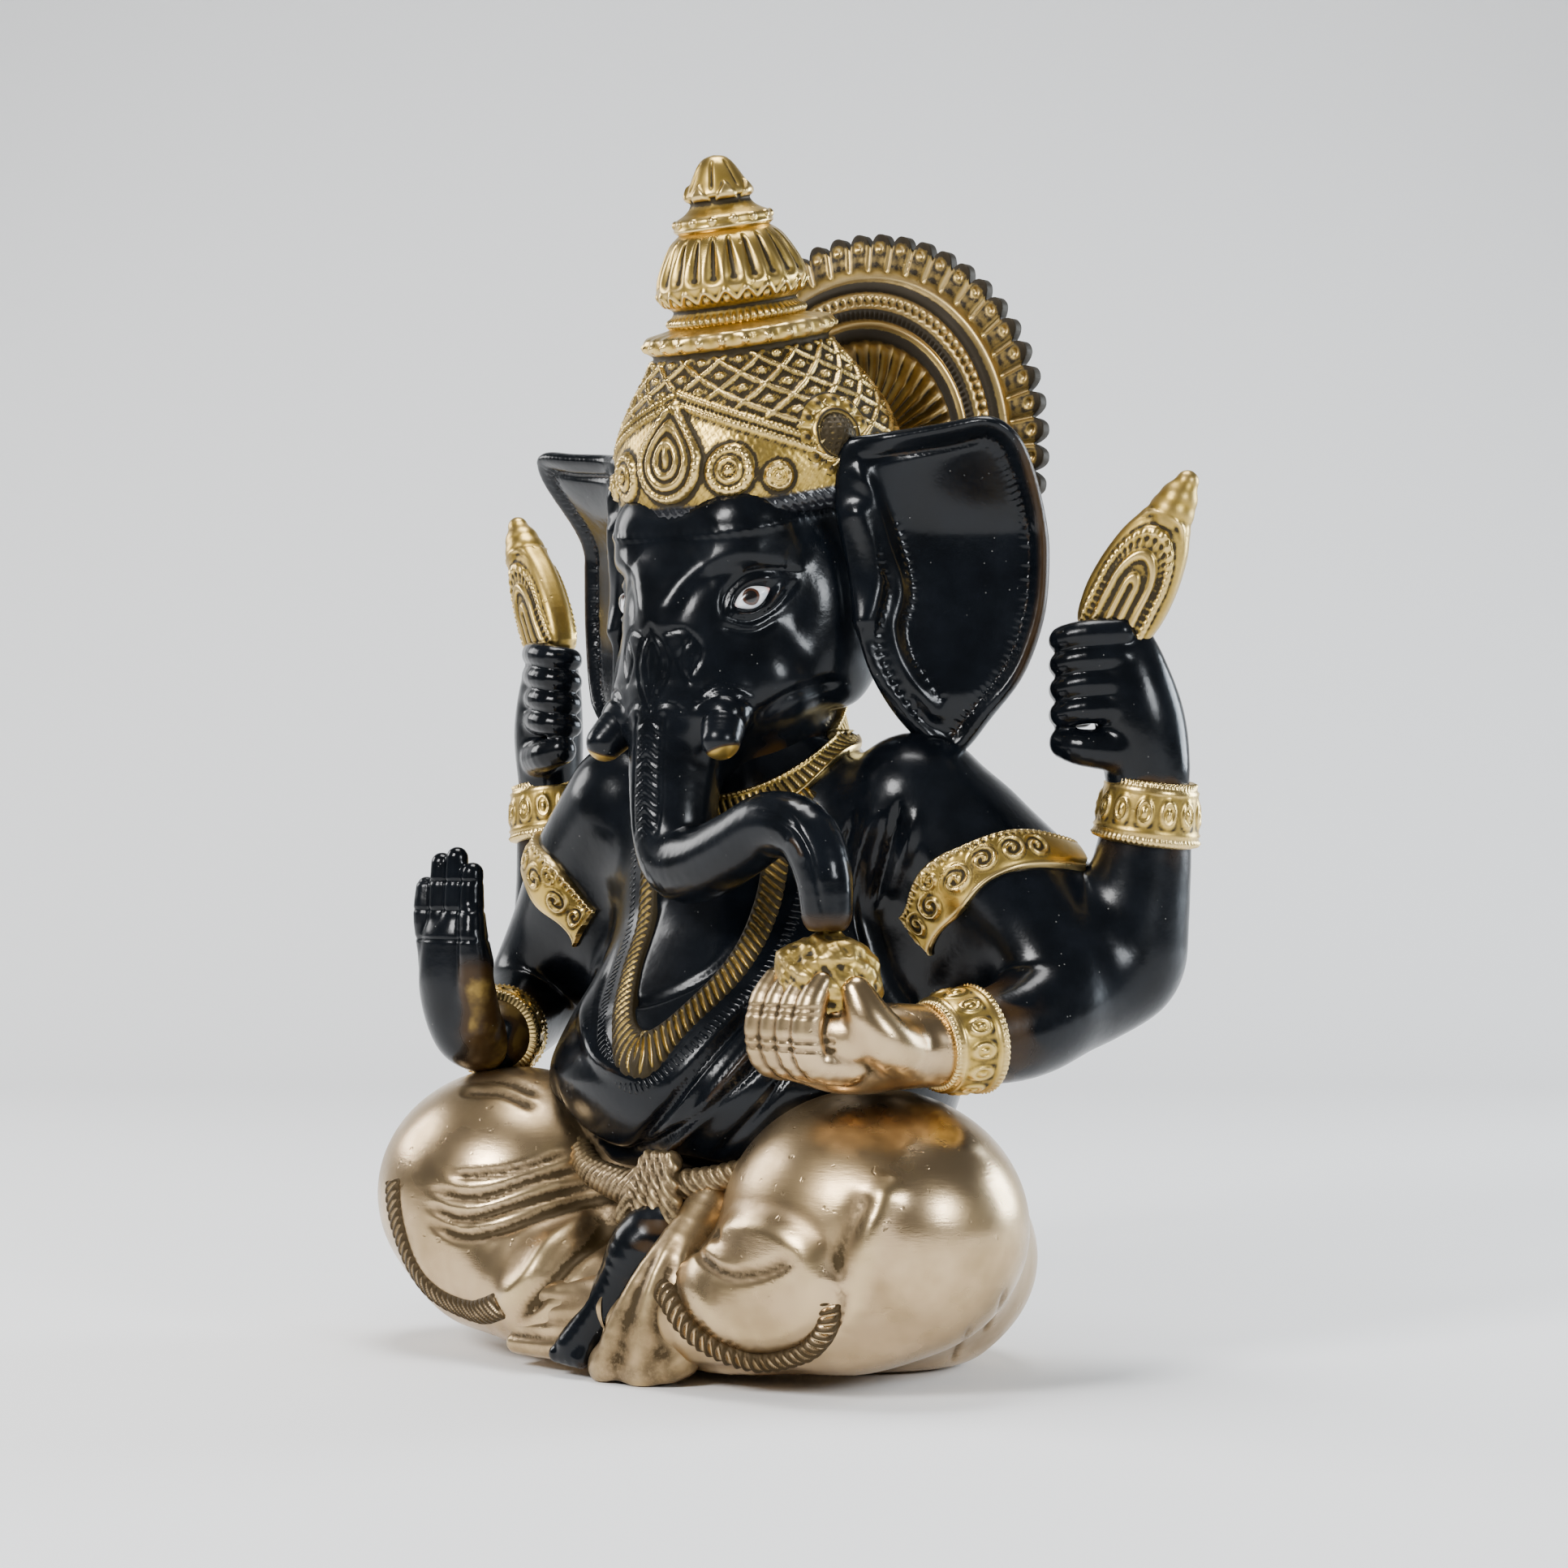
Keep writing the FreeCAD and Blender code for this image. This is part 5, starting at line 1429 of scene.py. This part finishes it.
# The raised right hand: flat palm forward, four fingers together, thumb laid along it.
RAISED_PALM = [(-54.5, -21, 63.5, 7.4), (-55, -26, 66, 7.6), (-55.5, -28.2, 74, 8.2), (-55.2, -28.8, 83, 7.6)]
raised_fingers = []
for i, reach in enumerate((97.5, 102.6, 103.8, 100.6)):
    x = -61.8 + 4.35 * i
    raised_fingers.append([(x + 0.8, -28.4, 80, 3.0), (x, -29.6, 89, 2.75),
                           (x - 0.2, -29.2, reach - 2.4, 2.3)])
raised_thumb = [(-50, -26.5, 67.5, 5.0), (-47.2, -30, 76, 3.7), (-46.8, -31.6, 84, 2.8),
                (-47.2, -31.2, 88.5, 2.2)]
hand = clay_for([RAISED_PALM, raised_thumb] + raised_fingers, 3, 0.42)
hand.tube(RAISED_PALM, 0, 50, flat=((0.0, 1.0, 0.08), 0.66))
for chain in raised_fingers:
    hand.tube(chain, 1.0, 8)
hand.tube(raised_thumb, 2.2, 10)
points, quads = hand.mesh()
normals = vertex_normals(points, quads)
relief = np.zeros(len(points))
for z in (84.5, 90.5, 96.5):
    cut = 0.28 * bump(points[:, 2] - z, 0.35) * ramp(np.abs(normals[:, 1]), 0.3, 0.7)
    relief -= cut * (points[:, 2] > 82)
points = points + normals * relief[:, None]
heel = ramp(points[:, 0], -52, -46) * ramp(-points[:, 2], -86, -74)
heel += 0.9 * ramp(-points[:, 2], -70, -60) * ramp(points[:, 0], -58, -50)
add_piece("hand_raised", ["right_front_hand"], "black_lacquer", points, quads,
          {"gild": np.clip(heel, 0, 1) * (0.5 + 0.25 * noise(points, 16, 2))}, depth=0.2)

# The holding left hand: palm up under the ball of sweet, fingers curled up in front of it.
HOLD_PALM = [(62, -17, 66.3, 7.6), (57, -25, 66.5, 8.2), (50, -31, 66, 8.6), (43, -34, 66.5, 7.4)]
hold_fingers = []
for i in range(4):
    x, y = 36.0 + 4.75 * i, -38.2 - 1.3 * i
    hold_fingers.append([(x + 3, y + 6, 64.0, 4.6), (x, y + 1.0, 64.2, 3.7), (x - 0.5, y - 1.4, 69, 3.2),
                         (x, y - 0.6, 75, 3.0), (x + 0.8, y + 1.6, 79.0, 2.4)])
hold_thumb = [(60, -26, 65.5, 6.2), (61, -33, 67.5, 5.2), (59, -36.5, 72.0, 4.4), (56.6, -37.5, 77.4, 3.0)]
hand = clay_for([HOLD_PALM, hold_thumb] + hold_fingers, 3, 0.42)
hand.tube(HOLD_PALM, 0, 40)
hand.egg((50.5, -36.4, 68.5), (10.5, 6.0, 6.5), 2)
for chain in hold_fingers:
    hand.tube(chain, 0.35, 14)
hand.tube(hold_thumb, 1.4, 40)
points, quads = hand.mesh()
normals = vertex_normals(points, quads)
relief = np.zeros(len(points))
for z in (66.5, 68.2, 73.0, 74.2):
    relief -= 0.35 * bump(points[:, 2] - z, 0.35) * ramp(-normals[:, 1], 0.2, 0.7) * (points[:, 0] < 55)
points = points + normals * relief[:, None]
# Darker towards the bottom of the hand, in patches, and in its cuts.
stain = 0.5 * ramp(-points[:, 2], -66, -59) * ramp(noise(points, 7, 4), -0.5, 0.6)
add_piece("hand_holding", ["left_front_hand"], "polished_brass", points, quads,
          {"stain": stain + np.clip(-relief, 0, 1)}, depth=0.2)

ball = Clay((35, -46, 66), (60, -21, 92), 0.4)
ball.egg((47.5, -33.5, 78.0), (10.2, 9.6, 9.6))
ball.egg((42.5, -36, 82), (5, 5, 4.6), 1.2)
ball.egg((51, -36, 83), (5.4, 5.2, 4.4), 1.2)
ball.tube([(47.5, -33.8, 84, 4.6), (47.7, -34.2, 88.2, 2.2)], 2)
points, quads = ball.mesh()
lumps = 0.45 * noise(points, 7.5, 11) + 0.3 * noise(points, 3.7, 21) + 0.16 * noise(points, 1.9, 12)
points = points + vertex_normals(points, quads) * lumps[:, None]
add_piece("sweet_ball", ["sweet"], "gilt_brass", points, quads,
          {"stain": 0.25 + 0.5 * np.clip(-lumps, 0, 1), "paint": 0.0}, depth=0.2)

# The rear hands: fists held upright, each gripping an emblem.
FIST_PALM = [(76, 29, 112, 7.6), (76, 28.4, 120, 8.6), (75.2, 27, 129, 9.0), (73.4, 25.6, 138, 8.0),
             (72, 25, 145, 6.0)]
fist_fingers = []
for i in range(4):
    z = 145.6 - 4.9 * i
    fist_fingers.append([(74, 21.5, z + 0.6, 3.2), (69, 17.4, z + 0.2, 2.9), (64.4, 16.6, z - 0.6, 2.75),
                         (62.4, 19.6, z - 1.0, 2.6), (64.6, 22.6, z - 1.0, 2.3)])
fist_thumb = [(73, 21.5, 123, 4.2), (67.5, 18.0, 123.6, 3.6), (63.6, 18.2, 124.6, 3.3)]
hand = clay_for([FIST_PALM, fist_thumb] + fist_fingers, 3, 0.42)
hand.tube(FIST_PALM, 0, 50, flat=((0.75, -0.66, 0.0), 0.86))
for chain in fist_fingers:
    hand.tube(chain, 0.8, 14)
hand.tube(fist_thumb, 1.2, 8)
points, quads = hand.mesh()
points[:, 0] += 3.0
lower = 0.5 * ramp(-points[:, 2], -124, -116) * ramp(noise(points, 9, 8), -0.4, 0.5)
for side, name in SIDES:
    add_piece(f"fist_{name}", [f"{name}_rear_hand"], "black_lacquer", *on_side(side, points, quads),
              {"gild": lower}, depth=0.2)

# ---------------------------------------------------------------- emblems held in the rear hands

BUD_OUTLINE = [(0, -4), (6.2, -3), (8.2, 3), (8.3, 10), (7.2, 17), (5.6, 21.5), (4.2, 24), (0, 24.8),
               (-4.2, 24), (-5.6, 21.5), (-7.2, 17), (-8.3, 10), (-8.2, 3), (-6.2, -3)]


def build_emblem():
    """A flat bud in its own frame, across, through and up: arched faces, with a stepped tip above."""
    step = 0.32 * FINE
    a, f, b = np.arange(-10, 10.4, step), np.arange(-7.5, 7.6, step), np.arange(-6, 36, step)
    flat = np.stack(np.meshgrid(a, b, indexing="ij"), axis=-1)
    edge, _ = outline_distance(flat, curve(BUD_OUTLINE, 60, closed=True))
    half = 4.6 * (1 - 0.35 * ramp(edge, -6, 0)) + 0 * edge
    slab = np.abs(f)[None, :, None] - half[:, None, :]
    clay = Clay.over([a, f, b], step, smooth_max(slab, np.broadcast_to(edge[:, None, :], slab.shape), 2.2))
    clay.tube([(0, 0, 23.4, 4.6), (0, 0, 24.6, 4.6)], 0.4)
    clay.tube([(0, 0, 26.4, 3.9), (0, 0, 27.4, 3.9)], 0.4)
    clay.tube([(0, 0, 28.8, 3.3), (0, 0, 31.4, 2.3)], 0.4, 6)
    points, quads = clay.mesh()
    edge, _ = outline_distance(points[:, [0, 2]], curve(BUD_OUTLINE, 60, closed=True))
    face = ramp(np.abs(points[:, 1]), 2.2, 3.4) * (points[:, 2] < 24)
    climb = np.maximum(points[:, 2] - 8, 0)
    inward = np.hypot(points[:, 0], climb * 0.5)
    arches = 0.55 * ramp(np.sin(inward * 2 * np.pi / 2.5 - 1.2), -0.2, 0.8) * ramp(-edge, 0.3, 1.0)
    run = np.where(points[:, 2] < 8, points[:, 2] * np.sign(points[:, 0]),
                   np.arctan2(climb, points[:, 0]) * 9)
    notch = 0.16 * np.sin(run * 4.4) * bump(inward - 5.6, 1.0)
    relief = face * (arches + notch)
    points = points + vertex_normals(points, quads) * relief[:, None]
    stain = 0.55 * face * np.clip(0.3 - relief, 0, 1) * 2 + 0.25 * (1 - face)
    return points, quads, stain


bud_points, bud_quads, bud_stain = build_emblem()
up = unit([15.0, 4.5, 29.0])
across = unit(np.cross([-0.45, 0.9, 0.0], up))
through = np.cross(up, across)
place = np.array([74.2, 23.8, 148.0]) + bud_points[:, :1] * across + bud_points[:, 1:2] * through
place = place + bud_points[:, 2:] * up
for side, name in SIDES:
    add_piece(f"bud_{name}", [f"{name}_emblem"], "gilt_brass", *on_side(side, place, bud_quads),
              {"stain": bud_stain, "paint": 0.0}, depth=0.14)

# ---------------------------------------------------------------- feet, drape and waist tie

foot = Clay((-20, -49, -1), (20, -22, 42), 0.45)
foot.tube([(12, -30, 30, 6.0), (5.5, -36, 26.5, 7.4), (1, -38.5, 19, 5.8), (-3.5, -40.5, 12, 4.8),
           (-8.5, -42.8, 5.8, 3.9)],
          0, 18)
for i in range(4):
    foot.tube([(-8 + 1.3 * i, -42, 8 + 0.8 * i, 2.2), (-11.5 + 2.0 * i, -44.6, 4.2 - 0.2 * i, 1.9)], 0.7)
foot.halfspace((0, 0, -1), 0.0, 0.5)
points, quads = foot.mesh()
gild = 0.5 * ramp(points[:, 0] - points[:, 2] * 0.2, -2, 4) * ramp(noise(points, 6, 9), -0.5, 0.5)
add_piece("foot_body", ["right_foot"], "black_lacquer", points, quads, {"gild": gild}, depth=0.2)

toes = Clay((-34, -50, -1), (0, -28, 24), 0.45)
for i in range(4):
    z = 15.2 - 3.5 * i
    toes.tube([(-4, -40 - 0.2 * i, z + 1.4, 3.0), (-14, -42.2, z + 0.4, 2.7),
               (-22.6 - 0.9 * i, -41.4, z, 2.2)],
              0.7, 8)
toes.tube([(0, -38, 14, 7), (-12, -38, 12, 6)], 2)
toes.halfspace((0, 0, -1), 0.0, 0.5)
points, quads = toes.mesh()
add_piece("toes_body", ["left_toes"], "polished_brass", points, quads,
          {"stain": 0.25 + 0.2 * noise(points, 6, 1)}, depth=0.2)

cloth = Clay((-14, -49, -1), (30, -22, 40), 0.45)
cloth.tube([(16, -31, 34, 4.5), (13, -38, 22, 6.5), (7, -40, 10, 7.5), (3, -41, 4, 6.0)], 0, 14)
cloth.tube([(14, -38, 16, 6), (13, -39.5, 6, 6)], 4)
cloth.tube([(-1, -42.6, 3.4, 3.6), (5, -43.4, 2.5, 3.2), (13, -42.5, 2.5, 3.0)], 2.5)
cloth.halfspace((0, 0, -1), 0.0, 0.5)
points, quads = cloth.mesh()
normals = vertex_normals(points, quads)
fan = np.arctan2(points[:, 0] - 17, 40 - points[:, 2])
relief = 0.5 * np.sin(fan * 26) * ramp(-points[:, 2], -30, -18)
points = points + normals * relief[:, None]
points[:, 2] = np.maximum(points[:, 2], 0)
add_piece("drape_body", ["front_drape"], "polished_brass", points, quads,
          {"stain": 0.45 + 0.3 * noise(points, 6, 6) - 0.4 * relief}, depth=0.2)

tie = Clay((-36, -46, 24), (36, -14, 56), 0.45)
for side in (-1, 1):
    tie.tube([(side * 26 + 2, -24, 43, 2.2), (side * 16 + 1, -30.5, 39, 2.6), (1 + side * 5, -34, 37, 3.2),
              (1, -34.5, 36.6, 3.4)],
             0.8, 14)
for lean, foot_x in ((3.0, -0.5), (5.0, 3.5), (7.0, 7.5), (8.6, 11.5)):
    tie.tube([(lean, -33.6, 42.5, 1.7), (lean * 0.6 + foot_x * 0.4, -36.0, 37.5, 2.0),
              (foot_x, -36.6, 31.5, 2.1)],
             0.4, 8)
points, quads = tie.mesh()
normals = vertex_normals(points, quads)
wave = np.sin((points[:, 2] * 0.9 + np.abs(points[:, 0] - 1.5)) * 2 * np.pi / 2.0)
relief = 0.4 * ramp(wave, -0.3, 0.7)
points = points + normals * relief[:, None]
add_piece("tie_body", ["waist_tie"], "polished_brass", points, quads,
          {"stain": 0.75 - 0.9 * relief + 0.2 * noise(points, 8, 13)}, depth=0.2)

# ---------------------------------------------------------------- underside plate

plate_low, plate_high = node_box("base_plate")
plate_centre = (plate_low + plate_high) / 2
plate_r = (plate_high[0] - plate_low[0]) / 2
rings = np.concatenate([np.linspace(0.1, plate_r - 0.4, 26), [plate_r, plate_r, plate_r - 0.4],
                        np.linspace(plate_r - 1, 0.1, 12)])
heights = np.concatenate([np.zeros(26), [0.4, 2.6, 3.0], np.full(12, 3.0)])
angle = np.linspace(0, 2 * np.pi, 120, endpoint=False)
grid = np.stack([
    plate_centre[0] + rings[:, None] * np.cos(angle)[None, :],
    plate_centre[1] - rings[:, None] * np.sin(angle)[None, :],
    np.repeat(heights[:, None], 120, axis=1),
], axis=-1)
grid[:26, :, 2] += 0.12 + 0.1 * noise(grid[:26], 9, 21)
add_grid("plate_body", ["base_plate"], "antique_brass", grid, extra={"stain": 0.4}, depth=0.2)

# ---------------------------------------------------------------- studio

def soft_light(name, place, size, power, colour=(1, 1, 1), aim=(0, 0, 0.12)):
    """A square softbox aimed at the figurine."""
    light = bpy.data.lights.new(name, "AREA")
    light.energy = power
    light.size = size
    light.color = colour
    obj = add_object(name, light)
    obj.location = place
    obj.rotation_euler = (Vector(aim) - Vector(place)).to_track_quat("-Z", "Y").to_euler()
    return obj


def backdrop():
    """A pale sweep: a floor that curves up behind the figurine."""
    across, along = 7.0, 60
    depth = np.concatenate([np.linspace(-7, 0.6, 12), np.linspace(0.66, 1.6, along - 12)])
    rise = np.where(depth > 0.7, (depth - 0.7) ** 2 * 2.6, 0.0)
    points, faces = [], []
    for d, z in zip(depth, rise):
        for s in (-across, across):
            p = RIGHT_OF_VIEW * s + AWAY * d
            points.append((p[0], p[1], z - 0.0002))
    for i in range(along - 1):
        faces.append((2 * i, 2 * i + 1, 2 * i + 3, 2 * i + 2))
    mesh = bpy.data.meshes.new("sweep")
    mesh.from_pydata(points, [], faces)
    mesh.polygons.foreach_set("use_smooth", [True] * len(mesh.polygons))
    obj = add_object("sweep", mesh)
    material, tree, shader = new_material("sweep_paper")
    shader.inputs["Base Color"].default_value = (0.93, 0.93, 0.93, 1)
    shader.inputs["Roughness"].default_value = 0.9
    mesh.materials.append(material)
    return obj


backdrop()
to_right, away = Vector(RIGHT_OF_VIEW), Vector(AWAY)
up = Vector((0, 0, 1))
soft_light("key", -away * 0.8 - to_right * 0.7 + up * 0.75, 0.34, 15)
soft_light("fill", -away * 0.85 + to_right * 0.75 + up * 0.45, 0.26, 6, (0.9, 0.95, 1.0))
soft_light("top", away * 0.1 + up * 1.2, 0.5, 13)
soft_light("rim_right", away * 0.35 + to_right * 0.9 + up * 0.3, 0.4, 10, (0.8, 0.9, 1.0))
soft_light("rim_left", away * 0.45 - to_right * 0.85 + up * 0.5, 0.4, 5)
world = bpy.data.worlds.new("studio")
world.use_nodes = True
world.node_tree.nodes["Background"].inputs[0].default_value = (1, 1, 1, 1)
world.node_tree.nodes["Background"].inputs[1].default_value = 0.13
bpy.context.scene.world = world

camera_data = bpy.data.cameras.new("view")
camera_data.lens = 80
camera_data.sensor_width = 36
camera_data.shift_y = 0.0176
camera = add_object("view", camera_data)
camera.location = -away * 0.715 + to_right * 0.008 + up * 0.111
camera.rotation_euler = away.to_track_quat("-Z", "Y").to_euler()
bpy.context.scene.camera = camera

# ---------------------------------------------------------------- sizes

bpy.context.view_layer.update()
lows, highs = [], []
for piece in bpy.data.objects:
    if piece.type == "MESH" and "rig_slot" in piece:
        corners = np.array([piece.matrix_world @ Vector(c) for c in piece.bound_box])
        lows.append(corners.min(0))
        highs.append(corners.max(0))
